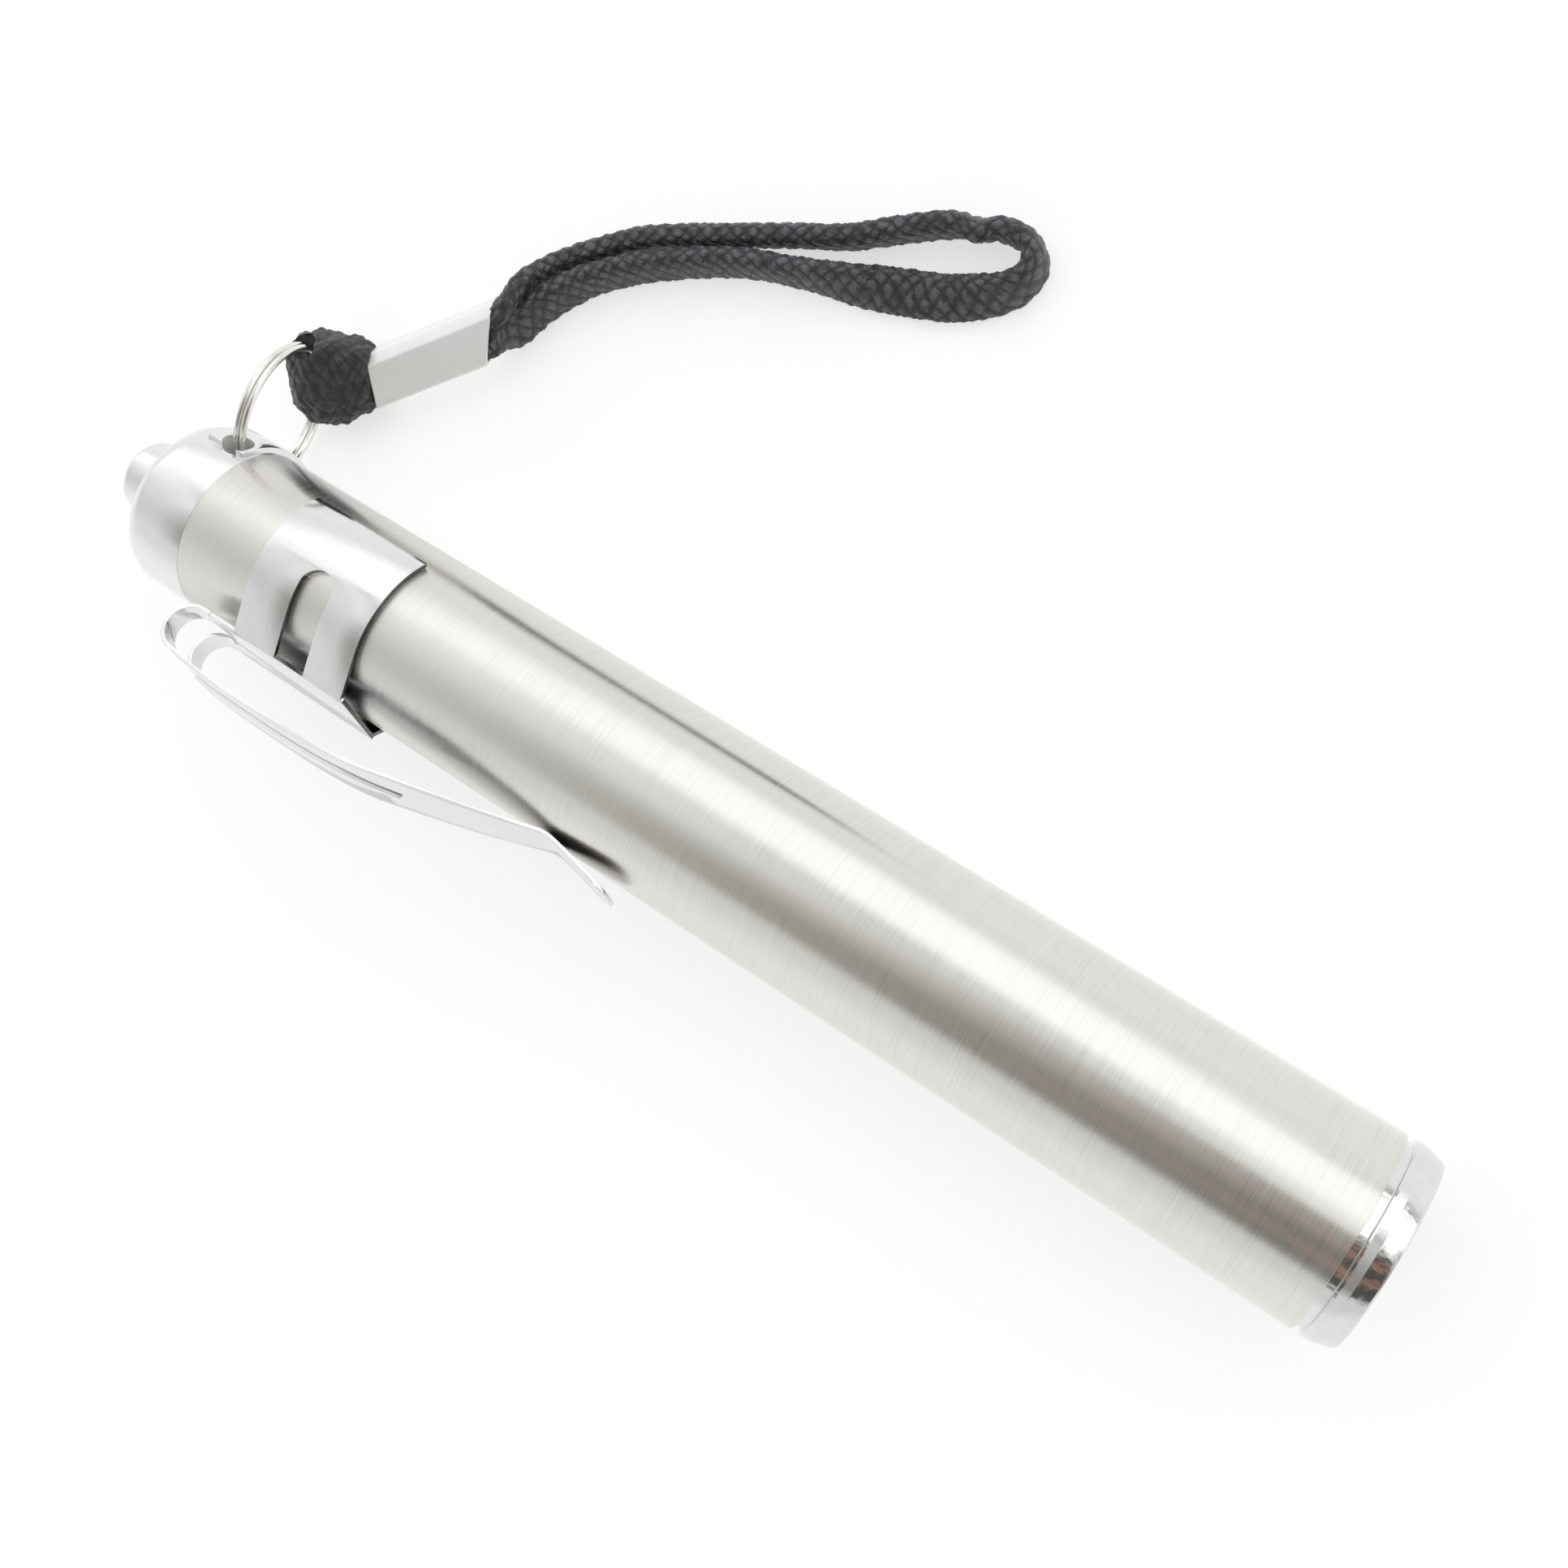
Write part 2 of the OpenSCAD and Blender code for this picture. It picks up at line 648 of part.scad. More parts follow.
module clip_arm() {
    end_r = fold_slot_w / 2;
    slot_centre = fold_x - end_r + fold_slot_reach;
    color([0.83, 0.83, 0.84])
    from_seam() clip_frame() difference() {
        union() {
            intersection() {
                arm_sheet(-sheet_t / 2, sheet_t / 2);
                upright() arm_plan();
            }
            intersection() {
                arm_sheet(0, sheet_t / 2 + rib_h);
                upright() rib_plan();
            }
            intersection() {
                translate([fold_x, 0, fold_z]) rotate([90, 0, 0]) difference() {
                    cylinder(h = clip_w, r = fold_outer_r, center = true);
                    cylinder(h = clip_w + through, r = fold_inner_r, center = true);
                }
                translate([fold_x - 2 * fold_outer_r, -clip_w, 0])
                    cube([2 * fold_outer_r, 2 * clip_w, 2 * arm_top_z]);
            }
            translate([fold_x, -clip_w / 2, spine_z]) cube([flex_x - flex_gap - fold_x, clip_w, sheet_t]);
        }
        spine_slot();
        translate([-through, -end_r, fold_z - through])
            cube([slot_centre + through, fold_slot_w, arm_top_z]);
        translate([slot_centre, 0, fold_z]) cylinder(h = arm_top_z, r = end_r);
        translate([tip_x - dimple_from_tip, 0, kink_z + tip_rise + dimple_lift]) sphere(r = dimple_r);
    }
}

// Split ring

module split_ring() {
    turns = ring_turns * ring_rings;
    span = ring_pitch * ring_turns;
    path = [for (i = [0:turns]) let (t = 360 * i / ring_rings + ring_start)
        ring_point(t) + (ring_pitch * i / ring_rings - span / 2) * in_ring([1, 0, 0])];
    gap = min([for (i = [0:turns], j = [i + ring_rings / 2:1:turns]) norm(path[i] - path[j])]) - ring_wire;
    echo("least gap between the ring's turns", gap);
    color([0.8, 0.79, 0.76])
    from_seam() tube(path, ring_wire, 6, in_ring([1, 0, 0]));
}

// Wrist strap

// The crimp's own frame: x away from the ring, y across the crimp, z up from its broad face
module strap_frame() translate(crimp_from) rotate([0, 0, strap_dir]) rotate([strap_roll, 0, 0]) children();

// A point of that frame, ahead and to the side
function strap_point(ahead, side) = crimp_from
    + turn_z([ahead, side * cos(strap_roll), side * sin(strap_roll)], strap_dir);

// The wrap's frame, which bends back and up towards the ring
module wrap_frame() {
    translate(crimp_from) rotate([0, wrap_pitch, wrap_dir]) rotate([strap_roll, 0, 0]) children();
}

// The wrap seen from the side: a round fold behind, narrowing to the crimp in front
module wrap_side() {
    half = wrap_h / 2;
    mouth = crimp_h / 2 - wrap_step;
    polygon(concat(arc(half - wrap_l, 0, half, 90, 270, 10), [[-wrap_neck, -half], [-wrap_gap, -mouth],
        [-wrap_gap, mouth], [-wrap_neck, half]]));
}

// The wrap seen from above
module wrap_plan() {
    half = wrap_w / 2;
    mouth = crimp_w / 2 - wrap_step;
    r = wrap_edge_r;
    polygon(concat(arc(r - wrap_l, half - r, r, 180, 90, 4), [[-wrap_neck, half], [-wrap_gap, mouth],
        [-wrap_gap, -mouth], [-wrap_neck, -half]], arc(r - wrap_l, r - half, r, 270, 180, 4)));
}

module strap_wrap() {
    color([0.17, 0.17, 0.19])
    from_seam() difference() {
        wrap_frame() intersection() {
            rotate([90, 0, 0]) linear_extrude(height = 2 * wrap_w, center = true) wrap_side();
            linear_extrude(height = 2 * wrap_h, center = true) wrap_plan();
        }
        ring_bar(wrap_tunnel_r);
        strap_frame() translate([-wrap_gap, -crimp_w, -crimp_w]) cube([crimp_l, 2 * crimp_w, 2 * crimp_w]);
        translate([-barrel_d, 0, table_z - barrel_d]) cube([2 * barrel_d, 2 * barrel_d, barrel_d]);
    }
}

module crimp() {
    half = crimp_w / 2;
    color([0.88, 0.88, 0.87])
    from_seam() strap_frame() translate([0, 0, -crimp_h / 2]) linear_extrude(height = crimp_h)
        polygon([[0, -half], [crimp_l - crimp_slant, -half], [crimp_l + crimp_slant, half], [0, half]]);
}

// Where a strand starts, ahead of the crimp's slanted end
function strand_from(side) = crimp_l + crimp_slant * (side + cord_d / 2) / (crimp_w / 2) + wrap_gap;

module strap_loop() {
    z = table_z + cord_d / 2;
    out = strand_from(cord_side);
    back = strand_from(-cord_side);
    path = concat(
        [strap_point(out, cord_side), strap_point(out + cord_straight, cord_side)],
        [for (p = STRAP_ROUTE) [p[0], p[1], z + (len(p) > 2 ? p[2] : 0)]],
        [strap_point(back + cord_straight, -cord_side), strap_point(back, -cord_side)]);
    color([0.17, 0.17, 0.19])
    from_seam() tube([for (q = smooth(path, 2)) [q[0], q[1], max(q[2], z)]], cord_d, cord_sides);
}

barrel();
bezel();
lens();
lens_gasket();
reflector();
led();
led_board();
front_contact();
battery_sleeve();
cell_front();
cell_rear();
battery_spring();
tail_cap();
o_ring();
push_button();
button_spring();
stem_clip();
switch_body();
switch_contact();
clip_band();
clip_arm();
split_ring();
strap_wrap();
crimp();
strap_loop();
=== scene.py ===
import math

import bmesh
import bpy
from mathutils import Matrix, Vector


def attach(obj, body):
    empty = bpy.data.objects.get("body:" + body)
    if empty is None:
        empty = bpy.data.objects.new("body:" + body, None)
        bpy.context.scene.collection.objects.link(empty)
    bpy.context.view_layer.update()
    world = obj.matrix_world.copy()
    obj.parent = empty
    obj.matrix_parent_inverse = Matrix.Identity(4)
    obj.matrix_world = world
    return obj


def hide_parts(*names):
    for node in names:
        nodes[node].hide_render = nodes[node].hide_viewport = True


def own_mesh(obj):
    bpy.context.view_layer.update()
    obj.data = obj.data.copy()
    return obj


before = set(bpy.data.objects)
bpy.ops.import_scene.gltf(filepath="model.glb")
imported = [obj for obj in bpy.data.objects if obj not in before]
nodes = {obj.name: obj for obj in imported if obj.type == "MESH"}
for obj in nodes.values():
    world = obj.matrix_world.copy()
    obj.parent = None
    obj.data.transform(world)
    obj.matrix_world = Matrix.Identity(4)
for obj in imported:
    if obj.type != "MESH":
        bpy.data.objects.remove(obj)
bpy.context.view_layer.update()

MM = 0.001
SEAM = -105.6          # the tail seam, in mm from the rim
BARREL_L, BARREL_R, BORE_R = 102.8, 7.5, 6.9
FLOOR_DIP = 0.4        # how far the clip's band stands below the barrel
BAND_X = -92.0         # the band's middle, in mm from the rim


def floor_z(x):
    """The floor's height in mm at x mm from the seam: it touches the band and the bezel."""
    return -BARREL_R - FLOOR_DIP * (x + SEAM) / BAND_X


def seam(p):
    """A point measured in mm from the tail seam, in metres in the part's frame."""
    return Vector(((p[0] + SEAM) * MM, p[1] * MM, p[2] * MM))


# Camera, at the photograph's place: its three directions in the part's frame

right = Vector((0.80997, 0.46528, -0.35702))
down = Vector((0.49437, -0.86918, -0.01117))
ahead = Vector((-0.31552, -0.16745, -0.93403))
cam_data = bpy.data.cameras.new("camera")
cam_data.lens = 38.526
cam_data.sensor_width = 36
cam_data.clip_start = 0.002
cam_data.clip_end = 20
camera = bpy.data.objects.new("camera", cam_data)
bpy.context.scene.collection.objects.link(camera)
turn = Matrix((right, -down, -ahead)).transposed().to_4x4()
camera.matrix_world = Matrix.Translation(Vector((-0.01265, 0.02691, 0.11740))) @ turn
bpy.context.scene.camera = camera
bpy.context.scene.view_settings.view_transform = "Standard"


# Geometry helpers

def tube(rows, around, closed=False):
    """The faces of a tube whose points come in rows of so many round it."""
    faces = []
    for i in range(rows if closed else rows - 1):
        j = (i + 1) % rows
        for k in range(around):
            l = (k + 1) % around
            faces.append((i * around + k, i * around + l, j * around + l, j * around + k))
    return faces


def caps(rows, around, backwards=True):
    """The tube's two flat ends; backwards says which way round the first one runs."""
    first = range(around - 1, -1, -1) if backwards else range(around)
    return [tuple(first), tuple((rows - 1) * around + k for k in range(around))]


def piece(name, verts, faces, body, sharp=None):
    """A smooth mesh on a body; edges steeper than sharp degrees stay crisp."""
    mesh = bpy.data.meshes.new(name)
    mesh.from_pydata([tuple(v) for v in verts], [], faces)
    mesh.validate()
    bm = bmesh.new()
    bm.from_mesh(mesh)
    bmesh.ops.recalc_face_normals(bm, faces=bm.faces)
    bm.to_mesh(mesh)
    bm.free()
    ob = bpy.data.objects.new(name, mesh)
    bpy.context.scene.collection.objects.link(ob)
    mesh.shade_smooth()
    if sharp is not None:
        mesh.set_sharp_from_angle(angle=math.radians(sharp))
    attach(ob, body)
    return ob


def lathe(name, profile, body, segs=160, closed=True, sharp=30):
    """A round piece about the beam's axis from points [x mm from the seam, r mm]."""
    verts = []
    for x, r in profile:
        for k in range(segs):
            t = 2 * math.pi * k / segs
            verts.append(seam((x, r * math.sin(t), r * math.cos(t))))
    faces = tube(len(profile), segs, closed)
    if not closed:
        faces += caps(len(profile), segs, backwards=False)
    return piece(name, verts, faces, body, sharp=sharp)


def dress(node, name, body, width=0.06, segments=2, angle=32):
    """A copy of a rigid CAD node with its edges eased, which stands for it."""
    bm = bmesh.new()
    bm.from_mesh(nodes[node].data)
    bmesh.ops.remove_doubles(bm, verts=bm.verts, dist=2e-6)
    bmesh.ops.dissolve_limit(bm, angle_limit=math.radians(0.4), verts=bm.verts, edges=bm.edges)
    mesh = bpy.data.meshes.new(name)
    bm.to_mesh(mesh)
    bm.free()
    ob = bpy.data.objects.new(name, mesh)
    bpy.context.scene.collection.objects.link(ob)
    if width:
        mod = ob.modifiers.new("edges", "BEVEL")
        mod.width = width * MM
        mod.segments = segments
        mod.limit_method = "ANGLE"
        mod.angle_limit = math.radians(angle)
        mod.use_clamp_overlap = True
        deps = bpy.context.evaluated_depsgraph_get()
        made = bpy.data.meshes.new_from_object(ob.evaluated_get(deps))
        ob.modifiers.clear()
        ob.data = made
        bpy.data.meshes.remove(mesh)
    ob.data.materials.clear()
    ob.data.shade_smooth()
    ob.data.set_sharp_from_angle(angle=math.radians(angle))
    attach(ob, body)
    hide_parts(node)
    return ob


def bend(a, b, c, d, t):
    """A smooth curve from b to c at t from 0 to 1, with a and d as its neighbours."""
    return 0.5 * (2 * b + (c - a) * t + (2 * a - 5 * b + 4 * c - d) * t * t
                  + (3 * b - a - 3 * c + d) * t * t * t)


def smooth_line(points, steps):
    """A smooth curve through the points, with so many steps from one to the next."""
    out = []
    last = len(points) - 1
    for i in range(last):
        before, after = points[max(i - 1, 0)], points[min(i + 2, last)]
        for k in range(steps):
            out.append(bend(before, points[i], points[i + 1], after, k / steps))
    out.append(points[last])
    return out


def even(points, step):
    """The line through the points, walked in even steps."""
    total = sum((points[i + 1] - points[i]).length for i in range(len(points) - 1))
    n = max(2, round(total / step))
    out = [points[0]]
    i, into = 0, 0.0
    for k in range(1, n):
        want = total * k / n
        while True:
            seg = (points[i + 1] - points[i]).length
            if into + seg >= want or i >= len(points) - 2:
                break
            into += seg
            i += 1
        f = (want - into) / max(seg, 1e-12)
        out.append(points[i].lerp(points[i + 1], f))
    out.append(points[-1])
    return out, total


def smoothstep(t):
    """From 0 to 1 with soft ends."""
    t = min(max(t, 0.0), 1.0)
    return t * t * (3 - 2 * t)


def scatter(i, j):
    """A number from 0 to 1 that differs from yarn to yarn, the same in every run."""
    return math.sin(i * 12.9898 + j * 78.233) * 43758.5453 % 1.0


def braid(u, v, cells):
    """Height of a diagonal plait at u and v cells, from 0 between the yarns to 1 on their crowns."""
    a, b = (u + v) / 2, (u - v) / 2
    yarn = scatter(math.floor(u) % cells, math.floor(v))
    fa, fb = a - math.floor(a), b - math.floor(b)
    if (math.floor(a) + math.floor(b)) % 2 == 0:
        across, along = fa, fb
    else:
        across, along = fb, fa
    crown = 1 - (2 * across - 1) ** 2
    over = 1 - 0.75 * abs(2 * along - 1) ** 3
    return max(crown, 0.0) ** 0.6 * over * (0.62 + 0.55 * yarn)


def paint(mesh, name, values):
    """One number at each point of a mesh, for its material to read."""
    layer = mesh.attributes.new(name, "FLOAT", "POINT")
    layer.data.foreach_set("value", values)


# The strap, first of all: the crimp's frame, the cord's route and its two strands' ends.
# Sizes are in mm, and x runs along the crimp or the knot from the crimp's near end

CRIMP_FROM = Vector((1.5, 16.7, -4.8))
CRIMP_L, CRIMP_W, CRIMP_H, CRIMP_SLANT = 11.9, 4.5, 2.6, 1.5
STRAP_DIR, STRAP_ROLL = math.radians(44), math.radians(38)
WRAP_DIR, WRAP_PITCH = math.radians(20), math.radians(12)
CORD_SIDE, CORD_STRAIGHT, CORD_IN = 1.1, 0.5, 0.2    # the strands' places at the crimp's far end
strap_turn = Matrix.Rotation(STRAP_DIR, 3, "Z") @ Matrix.Rotation(STRAP_ROLL, 3, "X")
wrap_turn = (Matrix.Rotation(WRAP_DIR, 3, "Z") @ Matrix.Rotation(WRAP_PITCH, 3, "Y")
             @ Matrix.Rotation(STRAP_ROLL, 3, "X"))

# The cord's route: x, y, how far it is lifted off the floor, and how far the flat cord
# lies over from standing on its edge, in degrees
ROUTE = [
    (10.7, 29.2, 1.3, 14), (11.5, 31.2, 0.5, 10), (13.1, 33.2, 0.1, 10), (15.6, 35.3, 0, 9),
    (19.4, 37.9, 0, 8), (25.7, 40.7, 0, 8), (31, 42.9, 0, 6), (35, 44.5, 0, 4), (38.7, 46.7, 0, 2),
    (42.3, 48.6, 0, 2), (44.3, 49.0, 0, 24), (45.9, 49.7, 0, 4), (48.3, 49.6, 0, 2), (49.5, 48.0, 0, 8),
    (48.4, 45.8, 0, 26), (44.8, 43.8, 0, 58), (41, 42.6, 0, 62), (36.6, 41.3, 0, 34), (32.2, 40.3, 0, 12),
    (27, 38.9, 0, 9), (20.8, 36.0, 0, 9), (16.5, 33.2, 0, 10), (14.1, 30.9, 0, 12), (12, 27.8, 0.2, 18),
]
EXIT_LIES = [60, 50]    # the same angle on a strand's first bit from the crimp
ROUTE_STEPS = 12        # from each point of the route to the next
LIE_PASSES = 12         # how often the cord's angle is smoothed along it
CORD_HALF_W, CORD_HALF_T = 1.8, 0.86
CORD_STEP = 0.13        # along the cord's mesh
CORD_AROUND = 84        # points round it
CELLS, CELL = 14, 0.66  # the plait's cells round the cord, and the length of one
RELIEF = 0.19           # the plait's height
CORD_CLEAR = 0.03       # between the cord and the floor
EXIT_TURN = 3.5         # length over which a strand turns out of the crimp
EXIT_PINCH, PINCH_L = 0.44, 1.8    # how much narrower a strand is in the crimp, and for how far


def strap_point(x, y, z=0.0):
    """A point in the crimp's frame, in mm from the seam."""
    return CRIMP_FROM + strap_turn @ Vector((x, y, z))


def crimp_end(side):
    """Where the crimp's slanted far end stands at a distance to the side."""
    return CRIMP_L + CRIMP_SLANT * side / (CRIMP_W / 2)


lies = EXIT_LIES + [r[3] for r in ROUTE] + EXIT_LIES[::-1]
out_at, back_at = crimp_end(CORD_SIDE) - CORD_IN, crimp_end(-CORD_SIDE) - CORD_IN
places = [strap_point(out_at, CORD_SIDE), strap_point(out_at + CORD_STRAIGHT, CORD_SIDE)]
for x, y, lift, lie in ROUTE:
    a = math.radians(lie)
    reach = math.hypot(CORD_HALF_W * math.cos(a), CORD_HALF_T * math.sin(a))
    places.append(Vector((x, y, floor_z(x) + reach + lift + CORD_CLEAR)))
places += [strap_point(back_at + CORD_STRAIGHT, -CORD_SIDE), strap_point(back_at, -CORD_SIDE)]
line4 = smooth_line([Vector((p[0], p[1], p[2], l)) for p, l in zip(places, lies)], ROUTE_STEPS)
cord_line, cord_length = even([Vector(p[:3]) for p in line4], CORD_STEP)


def off(i, q):
    """How far the route's point i is from q."""
    return (Vector(line4[i][:3]) - q).length


# The cord's angle at each even step is the one at the nearest place of the route, which is
# looked for afresh now and then and otherwise a little further on
lie_at = []
for k, q in enumerate(cord_line):
    if k % 20 == 0:
        near = min(range(len(line4)), key=lambda i: off(i, q))
    while near < len(line4) - 1 and off(near + 1, q) < off(near, q):
        near += 1
    lie_at.append(line4[near][3])
for _ in range(LIE_PASSES):
    inner = [(lie_at[i - 1] + lie_at[i] * 2 + lie_at[i + 1]) / 4 for i in range(1, len(lie_at) - 1)]
    lie_at = [lie_at[0]] + inner + [lie_at[-1]]


def strap_mesh(line, sections, around, cells, cell, relief):
    """A plaited flat cord; sections gives side, up, half width and half thickness along it."""
    verts, crown = [], []
    ran = 0.0
    for i, q in enumerate(line):
        if i:
            ran += (line[i] - line[i - 1]).length
        side, up, hw, ht = sections[i]
        for k in range(around):
            t = 2 * math.pi * k / around
            c, s = math.cos(t), math.sin(t)
            x = hw * math.copysign(abs(c) ** 0.8, c)
            z = ht * math.copysign(abs(s) ** 0.7, s)
            out = side * (c / hw) + up * (s / ht)
            out.normalize()
            # The waves keep the plait from being quite even
            u = cells * k / around + 0.16 * math.sin(1.9 * ran + 2 * t)
            h = braid(u, ran / cell + 0.14 * math.sin(3 * t + 0.8 * ran), cells)
            verts.append(q + side * x + up * z + out * (relief * (h - 0.6)))
            crown.append(h)
    return verts, tube(len(line), around) + caps(len(line), around), crown


def heading(line, i):
    """The line's direction at its point i."""
    d = line[min(i + 1, len(line) - 1)] - line[max(i - 1, 0)]
    return d.normalized()


sections = []
exit_z = strap_turn @ Vector((0, 0, 1))
for i, q in enumerate(cord_line):
    h = heading(cord_line, i)
    level = h.cross(Vector((0, 0, 1))).normalized()
    upright = level.cross(h).normalized()
    a = math.radians(lie_at[i])
    wide = (upright * math.cos(a) + level * math.sin(a)).normalized()
    # The strands leave the crimp side by side, each standing across it
    ends = min(i, len(cord_line) - 1 - i) * CORD_STEP
    leave = -exit_z if wide.dot(exit_z) < 0 else exit_z
    wide = wide.lerp(leave, 1 - smoothstep(ends / EXIT_TURN))
    wide = (wide - h * wide.dot(h)).normalized()
    thin = h.cross(wide).normalized()
    pinch = 1 - EXIT_PINCH * (1 - smoothstep(ends / PINCH_L))
    sections.append((wide, thin, CORD_HALF_W * pinch, CORD_HALF_T * (1.0 + 0.1 * (1 - pinch))))

verts, faces, crown = strap_mesh(cord_line, sections, CORD_AROUND, CELLS, CELL, RELIEF)
strap = piece("strap_cord", [seam(v) for v in verts], faces, "strap")
paint(strap.data, "crown", crown)
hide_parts("strap_loop")

# The wrap: the strands folded round the ring into a blocky knot, with a neck into the crimp.
# Along the knot, in mm: x, the middle and half of its width, the middle and half of its height

KNOT = [
    (1.0, 0.0, 1.5, 0.0, 0.7), (0.25, 0.0, 1.7, 0.0, 0.8), (0.05, 0.1, 2.1, 0.0, 1.05),
    (-0.1, 0.15, 2.6, 0.0, 1.35), (-0.5, 0.15, 2.95, 0.0, 1.65), (-1.2, 0.0, 3.3, 0.05, 1.9),
    (-2.5, -0.3, 3.75, 0.1, 2.15), (-4.5, -0.5, 4.05, 0.15, 2.3), (-6.0, -0.55, 3.85, 0.1, 2.2),
    (-7.0, -0.6, 3.4, 0.0, 1.85), (-7.6, -0.75, 2.7, 0.0, 1.25), (-7.9, -0.85, 1.6, 0.0, 0.6),
]
KNOT_STEPS = 10         # from each section to the next
KNOT_AROUND, KNOT_CELLS, KNOT_CELL, KNOT_RELIEF = 190, 28, 0.52, 0.17
GROOVES = [(0.05, 0.09, 0.10), (-0.55, 0.08, 0.05)]    # place across the knot, width and depth
KNOT_TUNNEL = 1.2       # radius of the ring's way through it


def knot_mesh():
    """A rugged plaited block through the sections of KNOT, in the wrap's own frame."""
    line = smooth_line([Vector(k[:4]) for k in KNOT], KNOT_STEPS)
    tall = smooth_line([Vector((k[4], 0)) for k in KNOT], KNOT_STEPS)
    verts, crown = [], []
    ran = 0.0
    for i, (x, cy, hy, cz) in enumerate(line):
        if i:
            ran += math.hypot(x - line[i - 1][0], 0.5 * (hy - line[i - 1][2]))
        hz = tall[i][0]
        for k in range(KNOT_AROUND):
            t = 2 * math.pi * k / KNOT_AROUND
            c, s = math.cos(t), math.sin(t)
            y, z = math.copysign(abs(c) ** 0.72, c), math.copysign(abs(s) ** 0.62, s)
            groove = 1.0
            for place, width, depth in GROOVES:
                groove -= depth * math.exp(-((y - place) / width) ** 2)
            h = braid(KNOT_CELLS * k / KNOT_AROUND + 0.3 * math.sin(2.3 * x + 2 * t),
                      ran / KNOT_CELL + 0.3 * math.sin(3 * t + 1.1 * x), KNOT_CELLS)
            lump = 1 + 0.03 * math.sin(2.1 * x + 5 * t) + 0.02 * math.sin(3.7 * x - 3 * t)
            out = Vector((0, c / hy, s / hz)).normalized() * (KNOT_RELIEF * (h - 0.5))
            verts.append(Vector((x, cy + hy * y * lump, cz + hz * z * groove * lump)) + out)
            crown.append(h)
    return verts, tube(len(line), KNOT_AROUND) + caps(len(line), KNOT_AROUND), crown


verts, faces, crown = knot_mesh()
wrap = piece("strap_fold", [seam(CRIMP_FROM + wrap_turn @ v) for v in verts], faces, "strap")
FLOOR_GAP = 2e-5        # in m, between the floor and what lies on it
for v in wrap.data.vertices:
    v.co.z = max(v.co.z, floor_z(v.co.x / MM - SEAM) * MM + FLOOR_GAP)
paint(wrap.data, "crown", crown)
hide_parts("strap_wrap")

# The crimp: sheet pressed round the strands, with open ends; its seam underneath is not drawn

CRIMP_FACET = 0.85      # the facet along the crimp's upper edge
CRIMP_WALL = 0.3
CRIMP_PRESS = 0.05      # how far its middle is pressed in
CRIMP_SKEW = 0.35       # its near end's slant, as a share of the way to the side
TOOTH, TOOTH_H = 0.36, 0.07
TOOTHLESS = 0.2         # the length without teeth at each end


def crimp_section(x, d, tooth):
    """The crimp's outline: a box with round edges, a facet above and teeth on its upper edge."""
    w, h = CRIMP_W / 2 + d, CRIMP_H / 2 + d
    f = CRIMP_FACET
    # Each corner's place and how far from it the rounding starts
    corners = [(w + tooth, -h, 0.3), (w + tooth * 0.4, h - f, 0.2), (w - f, h, 0.2),
               (-w, h, 0.45), (-w, -h, 0.45)]
    out = []
    for i, (y, z, r) in enumerate(corners):
        back = Vector(corners[i - 1][:2]) - Vector((y, z))
        on = Vector(corners[(i + 1) % len(corners)][:2]) - Vector((y, z))
        a, b = Vector((y, z)) + back.normalized() * r, Vector((y, z)) + on.normalized() * r
        for k in range(6):
            t = k / 5
            out.append(a * (1 - t) ** 2 + Vector((y, z)) * (2 * t * (1 - t)) + b * t ** 2)
    return out


def crimp_piece():
    """The crimp from rows across it: x along it, and how far out of its size the row lies."""
    wall = CRIMP_WALL
    steps = [(0.8, -wall), (0.1, -wall), (0.0, -wall * 0.8), (-0.02, -wall * 0.4), (0.0, -0.06), (0.08, 0.0)]
    toothed = CRIMP_L - 2 * TOOTHLESS
    count = round(toothed / (TOOTH / 4))
    xs = steps + [(TOOTHLESS + toothed * k / count, 0.0) for k in range(count + 1)]
    xs += [(CRIMP_L - x, d) for x, d in reversed(steps)]
    verts = []
    for x, d in xs:
        saw = abs((x / TOOTH) % 1.0 * 2 - 1) if d == 0 else 0.0
        press = CRIMP_PRESS * math.sin(math.pi * x / CRIMP_L)
        loop = crimp_section(x, d - press * 0.5, TOOTH_H * saw)
        for y, z in loop:
            far = max(x / CRIMP_L, 0.0) * (CRIMP_L + CRIMP_SLANT * y / (CRIMP_W / 2))
            near = CRIMP_SKEW * y * max(1 - x / CRIMP_L, 0.0)
            verts.append(seam(strap_point(far + near + min(x, 0.0), y, z)))
    faces = tube(len(xs), len(loop)) + caps(len(xs), len(loop))
    return piece("crimp_sleeve", verts, faces, "strap", sharp=40)


crimp = crimp_piece()
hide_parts("crimp")

# The split ring's wire, in two turns with cut ends

ring_tilt, ring_yaw = math.radians(10.8), math.radians(5.5)
ring_lift = math.radians(-7)
ring_turn = Matrix.Rotation(ring_yaw, 3, "Z") @ Matrix.Rotation(ring_tilt, 3, "Y")
RING_R, RING_WIRE, RING_PITCH = 6.0, 0.56, 0.6
RING_START = 105        # where the wire's cut end stands, in degrees
RING_AWAY = 10.5        # the ring's middle from the barrel's axis
TUNNEL_R = 1.3          # radius of the ring's way through the cap's pad
ring_c = Vector((-3.1, RING_AWAY * math.cos(ring_lift), RING_AWAY * math.sin(ring_lift)))


